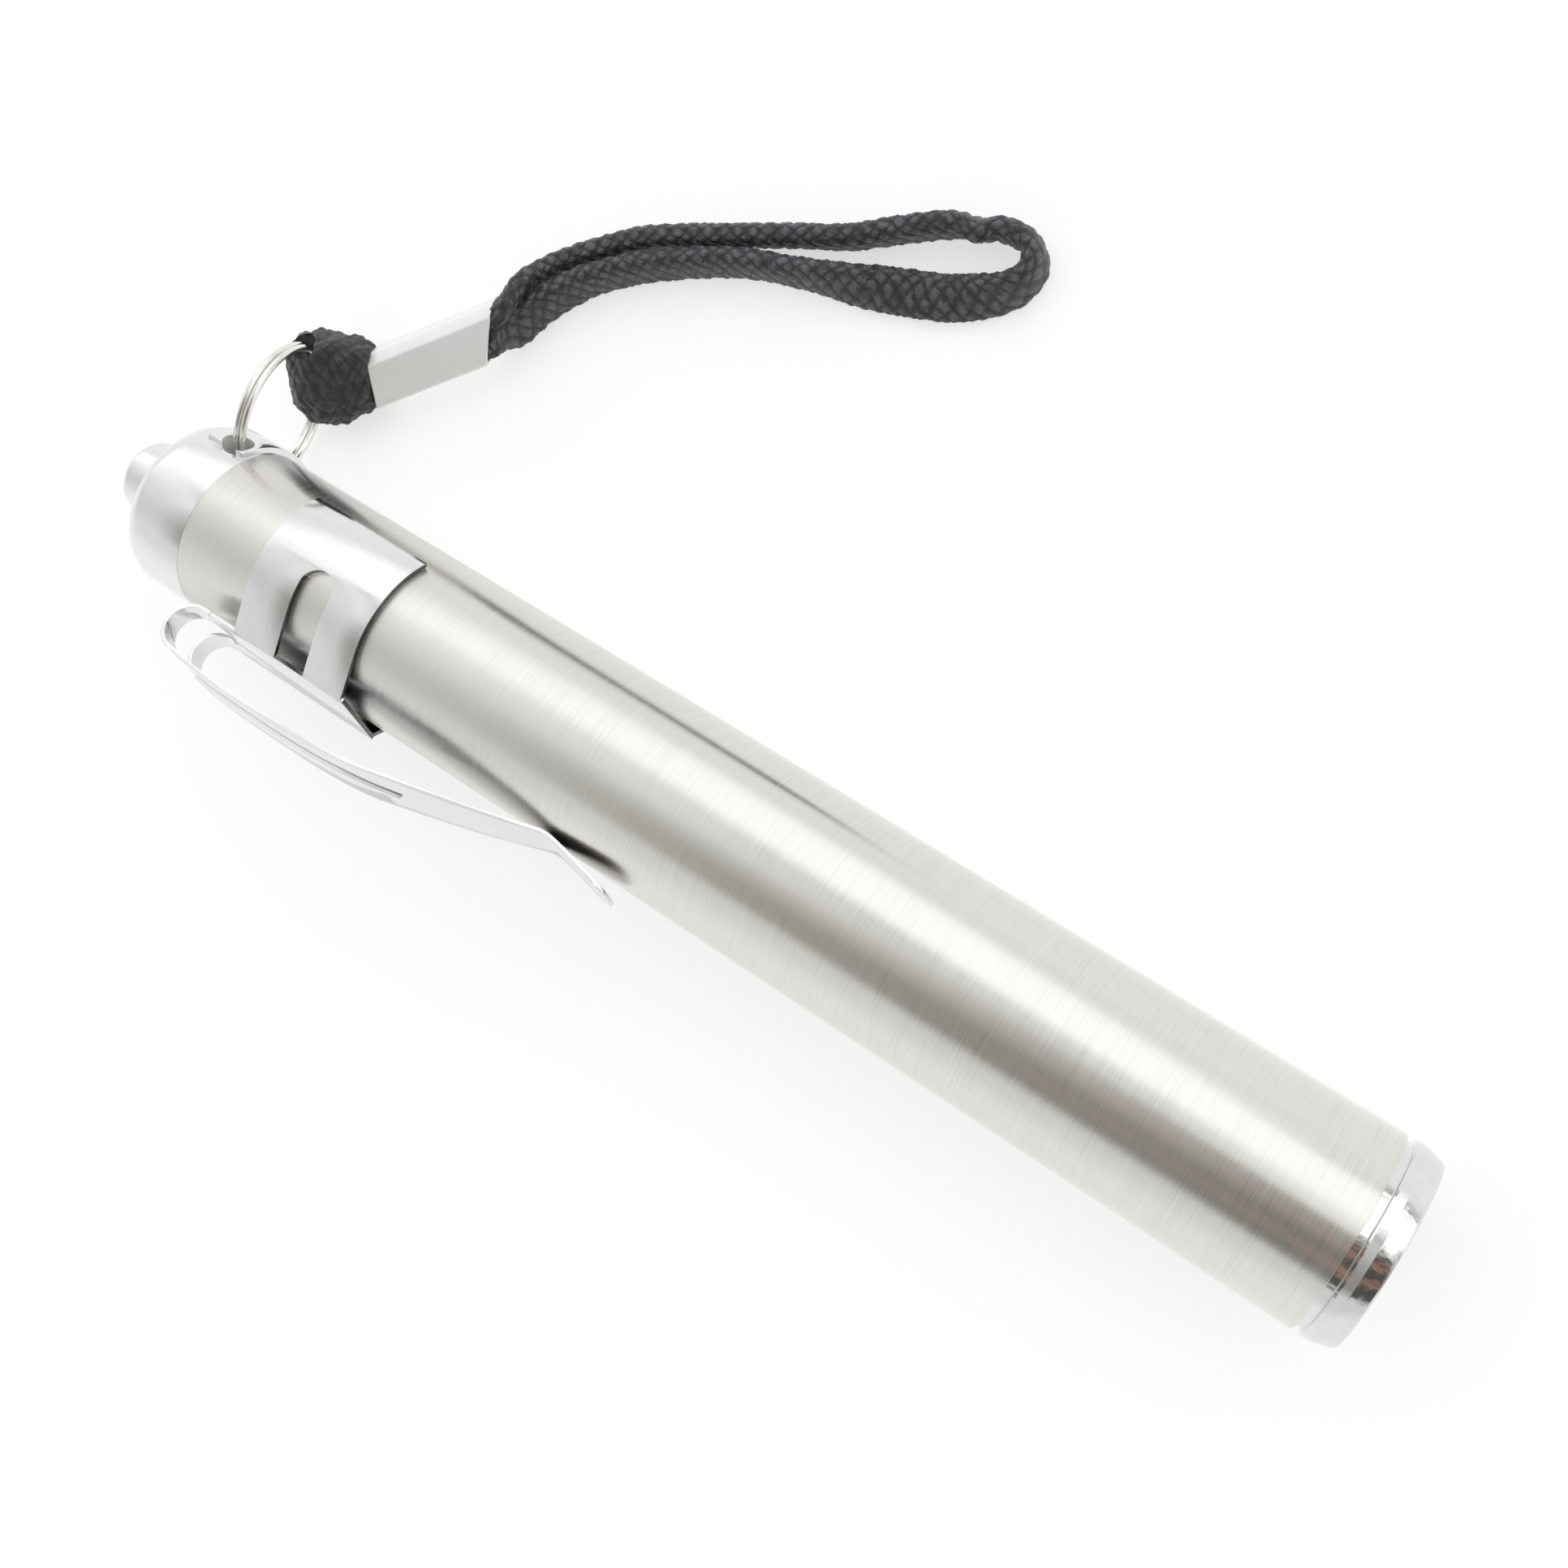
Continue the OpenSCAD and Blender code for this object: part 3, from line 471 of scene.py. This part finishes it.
def ring_piece():
    """Two turns of round wire beside each other, a little thinner at the cut ends."""
    rings, around = 192, 16
    verts = []
    for i in range(rings + 1):
        turns = 2 * i / rings
        a = math.radians(360 * turns + RING_START)
        shift = RING_PITCH * (turns - 1)
        out = ring_turn @ Vector((0, math.sin(a), math.cos(a)))
        axis = ring_turn @ Vector((1, 0, 0))
        mid = ring_c + out * RING_R + axis * shift
        end = min(i, rings - i)
        r = RING_WIRE / 2 * (0.88 if end == 0 else 1)
        for k in range(around):
            t = 2 * math.pi * k / around
            verts.append(seam(mid + (out * math.cos(t) + axis * math.sin(t)) * r))
    faces = tube(rings + 1, around) + caps(rings + 1, around, backwards=False)
    return piece("ring_wire", verts, faces, "ring", sharp=50)


ring = ring_piece()
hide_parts("split_ring")


MERGE = (8e-6, 8e-6, 5e-7)    # in m, the cut's points that fall together, pass by pass
CRUMB = 200             # loose bits with fewer points than this are dropped


def cut_tunnel(ob, radius):
    """The ring's way through the knot: a round bar along its circle, taken out of the mesh."""
    steps, around = 96, 24
    verts = []
    axis = ring_turn @ Vector((1, 0, 0))
    for i in range(steps):
        a = 2 * math.pi * i / steps
        out = ring_turn @ Vector((0, math.sin(a), math.cos(a)))
        for k in range(around):
            t = 2 * math.pi * k / around
            verts.append(seam(ring_c + out * (RING_R + radius * math.cos(t)) + axis * (radius * math.sin(t))))
    mesh = bpy.data.meshes.new("bar")
    mesh.from_pydata([tuple(v) for v in verts], [], tube(steps, around, closed=True))
    bm = bmesh.new()
    bm.from_mesh(mesh)
    bmesh.ops.recalc_face_normals(bm, faces=bm.faces)
    bm.to_mesh(mesh)
    bm.free()
    bar = bpy.data.objects.new("bar", mesh)
    bpy.context.scene.collection.objects.link(bar)
    mod = ob.modifiers.new("tunnel", "BOOLEAN")
    mod.operation = "DIFFERENCE"
    mod.solver = "EXACT"
    mod.object = bar
    deps = bpy.context.evaluated_depsgraph_get()
    made = bpy.data.meshes.new_from_object(ob.evaluated_get(deps))
    ob.modifiers.clear()
    # Slivers and loose crumbs that the cut leaves
    bm = bmesh.new()
    bm.from_mesh(made)
    for near in MERGE:
        bmesh.ops.triangulate(bm, faces=bm.faces)
        bmesh.ops.remove_doubles(bm, verts=bm.verts, dist=near)
        bmesh.ops.dissolve_degenerate(bm, edges=bm.edges, dist=near / 2)
    bmesh.ops.triangulate(bm, faces=bm.faces)
    # Two faces back to back on the same corners are a pocket with nothing in it
    same = {}
    for face in bm.faces:
        same.setdefault(frozenset(face.verts), []).append(face)
    pockets = [f for group in same.values() if len(group) > 1 for f in group]
    bmesh.ops.delete(bm, geom=pockets, context="FACES")
    left = set(bm.verts)
    while left:
        island, edge = set(), {left.pop()}
        while edge:
            v = edge.pop()
            island.add(v)
            edge |= {e.other_vert(v) for e in v.link_edges} - island
        left -= island
        if len(island) < CRUMB:
            bmesh.ops.delete(bm, geom=list(island), context="VERTS")
    bm.to_mesh(made)
    bm.free()
    ob.data = made
    ob.data.shade_smooth()
    bpy.data.objects.remove(bar)
    bpy.data.meshes.remove(mesh)


cut_tunnel(wrap, KNOT_TUNNEL)

# Round pieces that show

EASE = 0.06             # the barrel's eased edges
barrel = lathe("barrel_tube", [
    (0.0, BORE_R + EASE), (0.0, BARREL_R - EASE), (EASE * 0.3, BARREL_R - EASE * 0.3), (EASE, BARREL_R),
    (BARREL_L - EASE, BARREL_R), (BARREL_L - EASE * 0.3, BARREL_R - EASE * 0.3),
    (BARREL_L, BARREL_R - EASE), (BARREL_L, BORE_R + EASE), (BARREL_L - EASE, BORE_R), (EASE, BORE_R)],
    "barrel", segs=256)
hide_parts("barrel")


def rounding(cx, cr, r, a0, a1, n):
    """Points of a profile's arc about (cx, cr), from a0 to a1 degrees."""
    turns = [math.radians(a0 + (a1 - a0) * i / n) for i in range(n + 1)]
    return [(cx + r * math.cos(a), cr + r * math.sin(a)) for a in turns]


bezel = lathe("bezel_ring", [
    (98.2, 6.35), (98.2, 6.85), (102.8, 6.85), (102.8, 7.15), (103.4, 7.15), (103.4, 7.42), (103.46, 7.5),
    (104.25, 7.5), (104.32, 7.485), (105.42, 7.15), (105.53, 7.11), (105.585, 7.05), (105.6, 6.98),
    (105.6, 6.4)] + rounding(105.2, 6.3, 0.4, -20, -80, 4) + [(104.95, 5.8), (104.8, 5.8), (104.8, 6.35)],
    "barrel", segs=192)
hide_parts("bezel")

button = lathe("button_cup", [(-12.0, 0.02), (-12.0, 1.4)] + rounding(-11.35, 2.55, 0.65, 180, 90, 8) + [
    (-6.2, 3.2), (-6.2, 2.5), (-10.6, 2.5), (-10.6, 1.2), (3.3, 1.2), (3.3, 0.02)],
    "button", segs=128, closed=False)
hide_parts("push_button")

cap = dress("tail_cap", "tail_cap_shell", "tail_cap", width=0.05, segments=2, angle=34)
band = dress("clip_band", "clip_band_sheet", "clip", width=0.045, segments=2, angle=34)
arm = dress("clip_arm", "clip_arm_sheet", "clip_arm", width=0.1, segments=3, angle=34)
# The button's spring, which stays with the tail cap while the button goes in
coil = dress("button_spring", "button_spring_coil", "tail_cap", width=0)
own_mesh(coil)

# The lamp again, without the two faces of no area in its solid's mesh
lamp = dress("led", "led_lamp", "barrel", width=0)


# Materials

def calc(tree, op, a, b=None, slack=None, clamp=False):
    """A math node on numbers or sockets."""
    n = tree.nodes.new("ShaderNodeMath")
    n.operation = op
    n.use_clamp = clamp
    for socket, value in zip(n.inputs, (a, b, slack)):
        if isinstance(value, (int, float)):
            socket.default_value = value
        elif value is not None:
            tree.links.new(value, socket)
    return n.outputs[0]


def color_ramp(tree, fac, stops):
    """A ramp of colours; stops gives place and colour."""
    n = tree.nodes.new("ShaderNodeValToRGB")
    elements = n.color_ramp.elements
    while len(elements) < len(stops):
        elements.new(0.5)
    for element, (place, color) in zip(elements, stops):
        element.position = place
        element.color = tuple(color) + (1,)
    tree.links.new(fac, n.inputs["Fac"])
    return n.outputs["Color"]


class Shade:
    """A node-based material that starts from one Principled shader."""

    def __init__(self, name):
        self.mat = bpy.data.materials.new(name)
        self.mat.use_nodes = True
        self.tree = self.mat.node_tree
        self.bsdf = self.tree.nodes["Principled BSDF"]
        self.coord = self.tree.nodes.new("ShaderNodeTexCoord")

    def set(self, **values):
        for key, value in values.items():
            self.bsdf.inputs[key.replace("_", " ")].default_value = value

    def node(self, kind, **values):
        n = self.tree.nodes.new(kind)
        for key, value in values.items():
            setattr(n, key, value)
        return n

    def link(self, a, b):
        self.tree.links.new(a, b)

    def stretched(self, scale):
        """The piece's own coordinates, scaled along each axis."""
        m = self.node("ShaderNodeMapping")
        m.inputs["Scale"].default_value = scale
        self.link(self.coord.outputs["Object"], m.inputs["Vector"])
        return m.outputs["Vector"]

    def noise(self, vector, scale=1.0, detail=3.0, rough=0.55):
        n = self.node("ShaderNodeTexNoise")
        n.inputs["Scale"].default_value = scale
        n.inputs["Detail"].default_value = detail
        n.inputs["Roughness"].default_value = rough
        self.link(vector, n.inputs["Vector"])
        return n.outputs["Fac"]

    def math(self, op, a, b):
        return calc(self.tree, op, a, b)

    def span(self, fac, lo, hi, to_lo, to_hi):
        """A number taken from one range over to another."""
        n = self.node("ShaderNodeMapRange")
        n.inputs["From Min"].default_value = lo
        n.inputs["From Max"].default_value = hi
        n.inputs["To Min"].default_value = to_lo
        n.inputs["To Max"].default_value = to_hi
        self.link(fac, n.inputs["Value"])
        return n.outputs["Result"]

    def ramp(self, fac, stops):
        return color_ramp(self.tree, fac, stops)

    def bump(self, height, strength, distance):
        n = self.node("ShaderNodeBump")
        n.inputs["Strength"].default_value = strength
        n.inputs["Distance"].default_value = distance
        self.link(height, n.inputs["Height"])
        self.link(n.outputs["Normal"], self.bsdf.inputs["Normal"])


def put(ob, mat):
    """The material, alone on the object."""
    ob.data.materials.clear()
    ob.data.materials.append(mat)


def metal(name, lo, hi, rough_lo, rough_hi, scale, fine, bump, distance, metallic=1.0):
    """Metal between two colours and two roughnesses, by a broad noise and a fine one.

    scale is the broad noise's along each axis and fine is the other's, both per metre.
    """
    s = Shade(name)
    s.set(Metallic=metallic)
    broad = s.noise(s.stretched(scale), 1.0)
    thin = s.noise(s.stretched((1, 1, 1)), fine, 2.0)
    mix = s.math("ADD", s.math("MULTIPLY", broad, 0.6), s.math("MULTIPLY", thin, 0.4))
    s.link(s.ramp(mix, [(0.3, lo), (0.7, hi)]), s.bsdf.inputs["Base Color"])
    s.link(s.span(mix, 0.3, 0.7, rough_lo, rough_hi), s.bsdf.inputs["Roughness"])
    s.bump(mix, bump, distance)
    return s.mat


def brushed_metal():
    """Steel brushed round the barrel: fine rings, and a reflection that spreads along the axis."""
    s = Shade("brushed_steel")
    s.set(Metallic=1.0, Anisotropic=0.9, Anisotropic_Rotation=0.25)
    around = s.node("ShaderNodeTangent", direction_type="RADIAL", axis="X")
    s.link(around.outputs["Tangent"], s.bsdf.inputs["Tangent"])
    broad = s.noise(s.stretched((2600, 70, 70)), 1.0, 2.0)
    thin = s.noise(s.stretched((8500, 160, 160)), 1.0, 2.0)
    mix = s.math("ADD", s.math("MULTIPLY", broad, 0.25), s.math("MULTIPLY", thin, 0.75))
    colors = [(0.3, (0.68, 0.668, 0.632)), (0.7, (0.77, 0.756, 0.72))]
    s.link(s.ramp(mix, colors), s.bsdf.inputs["Base Color"])
    s.link(s.span(mix, 0.3, 0.7, 0.22, 0.28), s.bsdf.inputs["Roughness"])
    s.bump(mix, 0.12, 2e-6)
    return s.mat


brushed = brushed_metal()
chrome = metal("chrome", (0.75, 0.75, 0.76), (0.82, 0.82, 0.83), 0.11, 0.19,
               (120, 120, 120), 900.0, 0.05, 2e-6)
clip_metal = metal("clip_sheet", (0.72, 0.72, 0.73), (0.79, 0.79, 0.80), 0.1, 0.18,
                   (90, 160, 160), 2200.0, 0.12, 3e-6)
# Painted shade: a dark copy of the clip's metal for the band's end faces, in place of the shadow gap at its
# edges
painted_edge_shade = metal("clip_edge_painted_shade", (0.10, 0.10, 0.10), (0.20, 0.20, 0.20), 0.3, 0.45,
                 (900, 900, 900), 2500.0, 0.1, 4e-6)
rim_chrome = metal("rim_chrome", (0.68, 0.68, 0.68), (0.77, 0.77, 0.78), 0.04, 0.09,
                   (420, 420, 420), 1000.0, 0.6, 4e-5)
crimp_mat = metal("crimp_metal", (0.93, 0.93, 0.925), (0.98, 0.98, 0.975), 0.36, 0.5,
                  (160, 160, 160), 900.0, 0.08, 5e-6, metallic=0.5)
wire_mat = metal("ring_wire", (0.74, 0.73, 0.70), (0.88, 0.87, 0.84), 0.10, 0.2,
                 (300, 300, 300), 2500.0, 0.08, 3e-6)


def fabric(name, lit):
    """Black plaited yarn, with painted shade between the yarns and a painted highlight on their crowns; lit
    is how pale the painted highlight gets.
    """
    s = Shade(name)
    s.set(Roughness=0.5, Sheen_Weight=0.25, Sheen_Roughness=0.45, Specular_IOR_Level=0.6)
    top = s.node("ShaderNodeAttribute", attribute_name="crown")
    fuzz = s.noise(s.stretched((1, 1, 1)), 5200.0, 3.0, 0.7)
    speck = s.noise(s.stretched((1, 1, 1)), 1900.0, 2.0, 0.6)
    rough = s.math("ADD", s.math("MULTIPLY", fuzz, 0.25), s.math("MULTIPLY", speck, 0.6))
    # The crown height paints the grooves between the yarns dark (painted shade) and the crowns pale (painted
    # highlight); the two noises are random tone
    mix = s.math("ADD", s.math("MULTIPLY", top.outputs["Fac"], 0.4), rough)
    colors = [(0.3, (0.006, 0.006, 0.009)), (0.6, (0.020, 0.021, 0.026)),
              (0.85, (lit, lit * 1.03, lit * 1.15))]
    s.link(s.ramp(mix, colors), s.bsdf.inputs["Base Color"])
    s.bump(fuzz, 0.6, 5e-5)
    return s.mat


# The knot's copy has a fainter painted highlight on its crowns
cloth = fabric("strap_cord", 0.11)
knot_cloth = fabric("strap_knot", 0.05)


def plain(name, lo, hi, rough, scale, metallic=0.0, bump=0.05, distance=1e-5, **more):
    """A material between two colours, by one noise."""
    s = Shade(name)
    s.set(Metallic=metallic)
    n = s.noise(s.stretched((1, 1, 1)), scale, 3.0)
    s.link(s.ramp(n, [(0.3, lo), (0.7, hi)]), s.bsdf.inputs["Base Color"])
    s.link(s.span(n, 0.3, 0.7, rough * 0.85, rough * 1.15), s.bsdf.inputs["Roughness"])
    s.bump(n, bump, distance)
    s.set(**more)
    return s.mat


glass = plain("lens_glass", (0.94, 0.96, 0.97), (0.98, 0.99, 1.0), 0.03, 300.0, bump=0.01, distance=1e-6,
              Transmission_Weight=1.0, IOR=1.49)
rubber = plain("black_rubber", (0.012, 0.012, 0.012), (0.03, 0.03, 0.03), 0.6, 1500.0)
mirror = plain("reflector_mirror", (0.88, 0.88, 0.88), (0.93, 0.93, 0.93), 0.08, 400.0, metallic=1.0,
               bump=0.1, distance=4e-6)
resin = plain("led_resin", (0.90, 0.86, 0.62), (0.95, 0.92, 0.75), 0.12, 300.0, bump=0.02)
# Painted light: a pale matt colour for the ring's tunnel in the cap, in place of its shade
tunnel_painted_light = plain("tunnel_painted_light", (0.80, 0.80, 0.80), (0.90, 0.90, 0.90), 0.6, 1500.0)
board = plain("board_laminate", (0.02, 0.10, 0.05), (0.04, 0.16, 0.08), 0.4, 900.0)
brass = plain("contact_brass", (0.62, 0.46, 0.18), (0.74, 0.58, 0.26), 0.25, 800.0, metallic=1.0)
spring = plain("spring_steel", (0.5, 0.5, 0.52), (0.66, 0.66, 0.68), 0.25, 1500.0, metallic=1.0)
sleeve = plain("sleeve_plastic", (0.02, 0.02, 0.022), (0.045, 0.045, 0.05), 0.5, 1200.0)
jacket = plain("cell_jacket", (0.09, 0.12, 0.15), (0.14, 0.18, 0.22), 0.3, 700.0)

for ob, mat in ((strap, cloth), (wrap, knot_cloth), (crimp, crimp_mat), (ring, wire_mat), (barrel, brushed),
                (bezel, rim_chrome), (button, chrome), (cap, chrome), (band, clip_metal), (arm, clip_metal),
                (coil, spring), (lamp, resin)):
    put(ob, mat)
# The ends of the band's sheet, which face along the barrel, are painted dark: painted shade for the shadow
# gap along the band's edges
SHADE_FACING_X = 0.96          # how much of a face's direction lies along the barrel
band.data.materials.append(painted_edge_shade)
for poly in band.data.polygons:
    if abs(poly.normal.x) > SHADE_FACING_X:
        poly.material_index = 1
# The ring's tunnel in the cap is painted pale: painted light that lifts the shade inside it
TUNNEL_SLACK = 0.02     # in mm, over the tunnel's radius
cap.data.materials.append(tunnel_painted_light)
ring_axis = ring_turn @ Vector((1, 0, 0))
for poly in cap.data.polygons:
    from_ring = Vector(poly.center) / MM - Vector((SEAM, 0, 0)) - ring_c
    beside = from_ring.dot(ring_axis)
    if math.hypot((from_ring - ring_axis * beside).length - RING_R, beside) < TUNNEL_R + TUNNEL_SLACK:
        poly.material_index = 1
for node, mat in {
    "lens": glass, "lens_gasket": rubber, "reflector": mirror, "led_board": board,
    "front_contact": brass, "battery_sleeve": sleeve, "cell_front": jacket, "cell_rear": jacket,
    "battery_spring": spring, "o_ring": rubber, "stem_clip": spring,
    "switch_body": sleeve, "switch_contact": brass,
}.items():
    put(nodes[node], mat)
for node in ("lens", "lens_gasket", "reflector", "cell_front", "cell_rear", "o_ring"):
    nodes[node].data.shade_smooth()
    nodes[node].data.set_sharp_from_angle(angle=math.radians(32))


# Floor and studio: bands of soft light that run along the torch

FLOOR_COLOR = (0.5, 0.5, 0.5, 1)
FLOOR_HALF = 3.0        # in m
FLOOR_MIDDLE = -50      # in mm from the rim
floor_mesh = bpy.data.meshes.new("floor")
corners = [(-FLOOR_HALF, -FLOOR_HALF, 0), (FLOOR_HALF, -FLOOR_HALF, 0), (FLOOR_HALF, FLOOR_HALF, 0),
           (-FLOOR_HALF, FLOOR_HALF, 0)]
floor_mesh.from_pydata(corners, [], [(0, 1, 2, 3)])
floor = bpy.data.objects.new("floor", floor_mesh)
bpy.context.scene.collection.objects.link(floor)
floor.location = (FLOOR_MIDDLE * MM, 0.0, floor_z(FLOOR_MIDDLE - SEAM) * MM - FLOOR_GAP)
floor.rotation_euler = (0.0, math.atan2(FLOOR_DIP, BAND_X), 0.0)
fm = bpy.data.materials.new("pale_floor")
fm.use_nodes = True
ft = fm.node_tree
ft.nodes.clear()
out = ft.nodes.new("ShaderNodeOutputMaterial")
diff = ft.nodes.new("ShaderNodeBsdfDiffuse")
diff.inputs["Color"].default_value = FLOOR_COLOR
glow = ft.nodes.new("ShaderNodeEmission")
glow.inputs["Color"].default_value = (1, 1, 1, 1)
path = ft.nodes.new("ShaderNodeLightPath")

# The camera, metal and glass see the floor's own glow, which throws no diffuse light
FLOOR_GLOW = 0.62
seen = calc(ft, "ADD", path.outputs["Is Camera Ray"], path.outputs["Is Glossy Ray"])
seen = calc(ft, "ADD", seen, path.outputs["Is Transmission Ray"], clamp=True)
ft.links.new(calc(ft, "MULTIPLY", seen, FLOOR_GLOW), glow.inputs["Strength"])
add = ft.nodes.new("ShaderNodeAddShader")
ft.links.new(diff.outputs[0], add.inputs[0])
ft.links.new(glow.outputs[0], add.inputs[1])
ft.links.new(add.outputs[0], out.inputs["Surface"])
floor_mesh.materials.append(fm)

# The studio's brightness by degrees round the torch, from straight up towards +Y: as the torch's
# middle shows it, its front, its tail and the bezel
WARM = (1.0, 0.985, 0.90)      # the tint of the dark screen
BROWN = (1.0, 0.58, 0.45)      # the tint of the patches that the bezel shows
BANDS = [(-70, 0.9), (-50, 0.8), (-38, 0.45), (-24, 0.45), (-6, 0.75), (4, 1.1), (26, 0.95), (38, 1.4),
         (78, 1.4), (90, 0.95)]
FRONT_BANDS = [(-70, 0.9), (-50, 0.8), (-38, 0.35), (-20, 0.35), (0, 0.6), (12, 0.75), (22, 0.65), (34, 1.4),
               (74, 1.4), (86, 0.9)]
TAIL_BANDS = [(-50, 0.85), (-38, 0.75), (-20, 0.75), (10, 0.95), (44, 1.35), (72, 1.3), (90, 0.95)]
RIM_BANDS = [(-52, 0.8), (-46, 0.1), (-34, 0.1), (-27, 0.4, BROWN), (-19, 0.1), (-11, 0.1), (-3, 0.4, BROWN),
             (3, 0.1), (10, 0.5), (18, 1.4), (64, 1.4), (70, 0.3), (84, 0.3), (94, 0.8)]
TINT_FROM, TINT_SPAN = 0.75, 0.25      # the levels under which a band is tinted, and how softly
STRENGTH = 1.4
# Where each part's bands take over, as how far a direction points to the front, and how softly
FRONT_FROM, FRONT_SPAN = -0.45, 0.49
TAIL_FROM, TAIL_SPAN = -0.34, 0.22
WALL_AT, WALL_HALF = 0.1, 0.035
CHAMFER_AT, CHAMFER_HALF = 0.52, 0.16
LEVEL_FROM, LEVEL_SPAN = 0.16, 0.2     # how far up a direction points where the bands begin
RAGGED_SCALE, RAGGED_BY = 16.0, 0.08   # the uneven edges of the bezel's bands
world = bpy.data.worlds.new("studio")
bpy.context.scene.world = world
world.use_nodes = True
wt = world.node_tree
wt.nodes.clear()


def world_math(op, a, b=None, slack=None, clamp=False):
    return calc(wt, op, a, b, slack, clamp)


def ease(socket, start, span):
    """From 0 at start to 1 a span further on."""
    return world_math("DIVIDE", world_math("SUBTRACT", socket, start), span, clamp=True)


def band_ramp(fac, bands):
    """The ramp of one part's bands, whose dark ones are tinted."""
    stops = []
    for deg, level, *tint in bands:
        share = 1.0 if tint else min(max((TINT_FROM - level) / TINT_SPAN, 0.0), 1.0)
        color = [level / STRENGTH * (1 + (c - 1) * share) for c in (tint or [WARM])[0]]
        stops.append(((deg + 180) / 360, color))
    return color_ramp(wt, fac, stops)


def blend(fac, a, b):
    """Colour a where the factor is 0 and b where it is 1."""
    n = wt.nodes.new("ShaderNodeMixRGB")
    wt.links.new(fac, n.inputs["Fac"])
    for sock, v in ((n.inputs["Color1"], a), (n.inputs["Color2"], b)):
        if isinstance(v, tuple):
            sock.default_value = v
        else:
            wt.links.new(v, sock)
    return n.outputs["Color"]


wout = wt.nodes.new("ShaderNodeOutputWorld")
back = wt.nodes.new("ShaderNodeBackground")
way = wt.nodes.new("ShaderNodeTexCoord")
parts = wt.nodes.new("ShaderNodeSeparateXYZ")
wt.links.new(way.outputs["Generated"], parts.inputs[0])
angle = world_math("ARCTAN2", parts.outputs["Y"], parts.outputs["Z"])
turn_part = world_math("ADD", world_math("DIVIDE", angle, 2 * math.pi), 0.5)
forward = ease(parts.outputs["X"], FRONT_FROM, FRONT_SPAN)
ragged = wt.nodes.new("ShaderNodeTexNoise")
ragged.inputs["Scale"].default_value = RAGGED_SCALE
wt.links.new(way.outputs["Generated"], ragged.inputs["Vector"])
shift = world_math("MULTIPLY", world_math("SUBTRACT", ragged.outputs["Fac"], 0.5), RAGGED_BY)
rim_part = world_math("ADD", turn_part, shift)
# The bezel's wall sees one slice of the front's screens and its chamfer another
wall_slice = world_math("COMPARE", parts.outputs["X"], WALL_AT, slack=WALL_HALF)
chamfer_slice = world_math("COMPARE", parts.outputs["X"], CHAMFER_AT, slack=CHAMFER_HALF)
rimward = world_math("MAXIMUM", wall_slice, chamfer_slice)
tailward = ease(parts.outputs["X"], TAIL_FROM, -TAIL_SPAN)
bands = blend(forward, band_ramp(turn_part, BANDS), band_ramp(turn_part, FRONT_BANDS))
bands = blend(tailward, bands, band_ramp(turn_part, TAIL_BANDS))
bands = blend(rimward, bands, band_ramp(rim_part, RIM_BANDS))
# Near the level the studio is plain white all round
high = ease(parts.outputs["Z"], LEVEL_FROM, LEVEL_SPAN)
studio = blend(high, (1 / STRENGTH, 1 / STRENGTH, 1 / STRENGTH, 1), bands)
wt.links.new(studio, back.inputs["Color"])
back.inputs["Strength"].default_value = STRENGTH
wt.links.new(back.outputs[0], wout.inputs["Surface"])
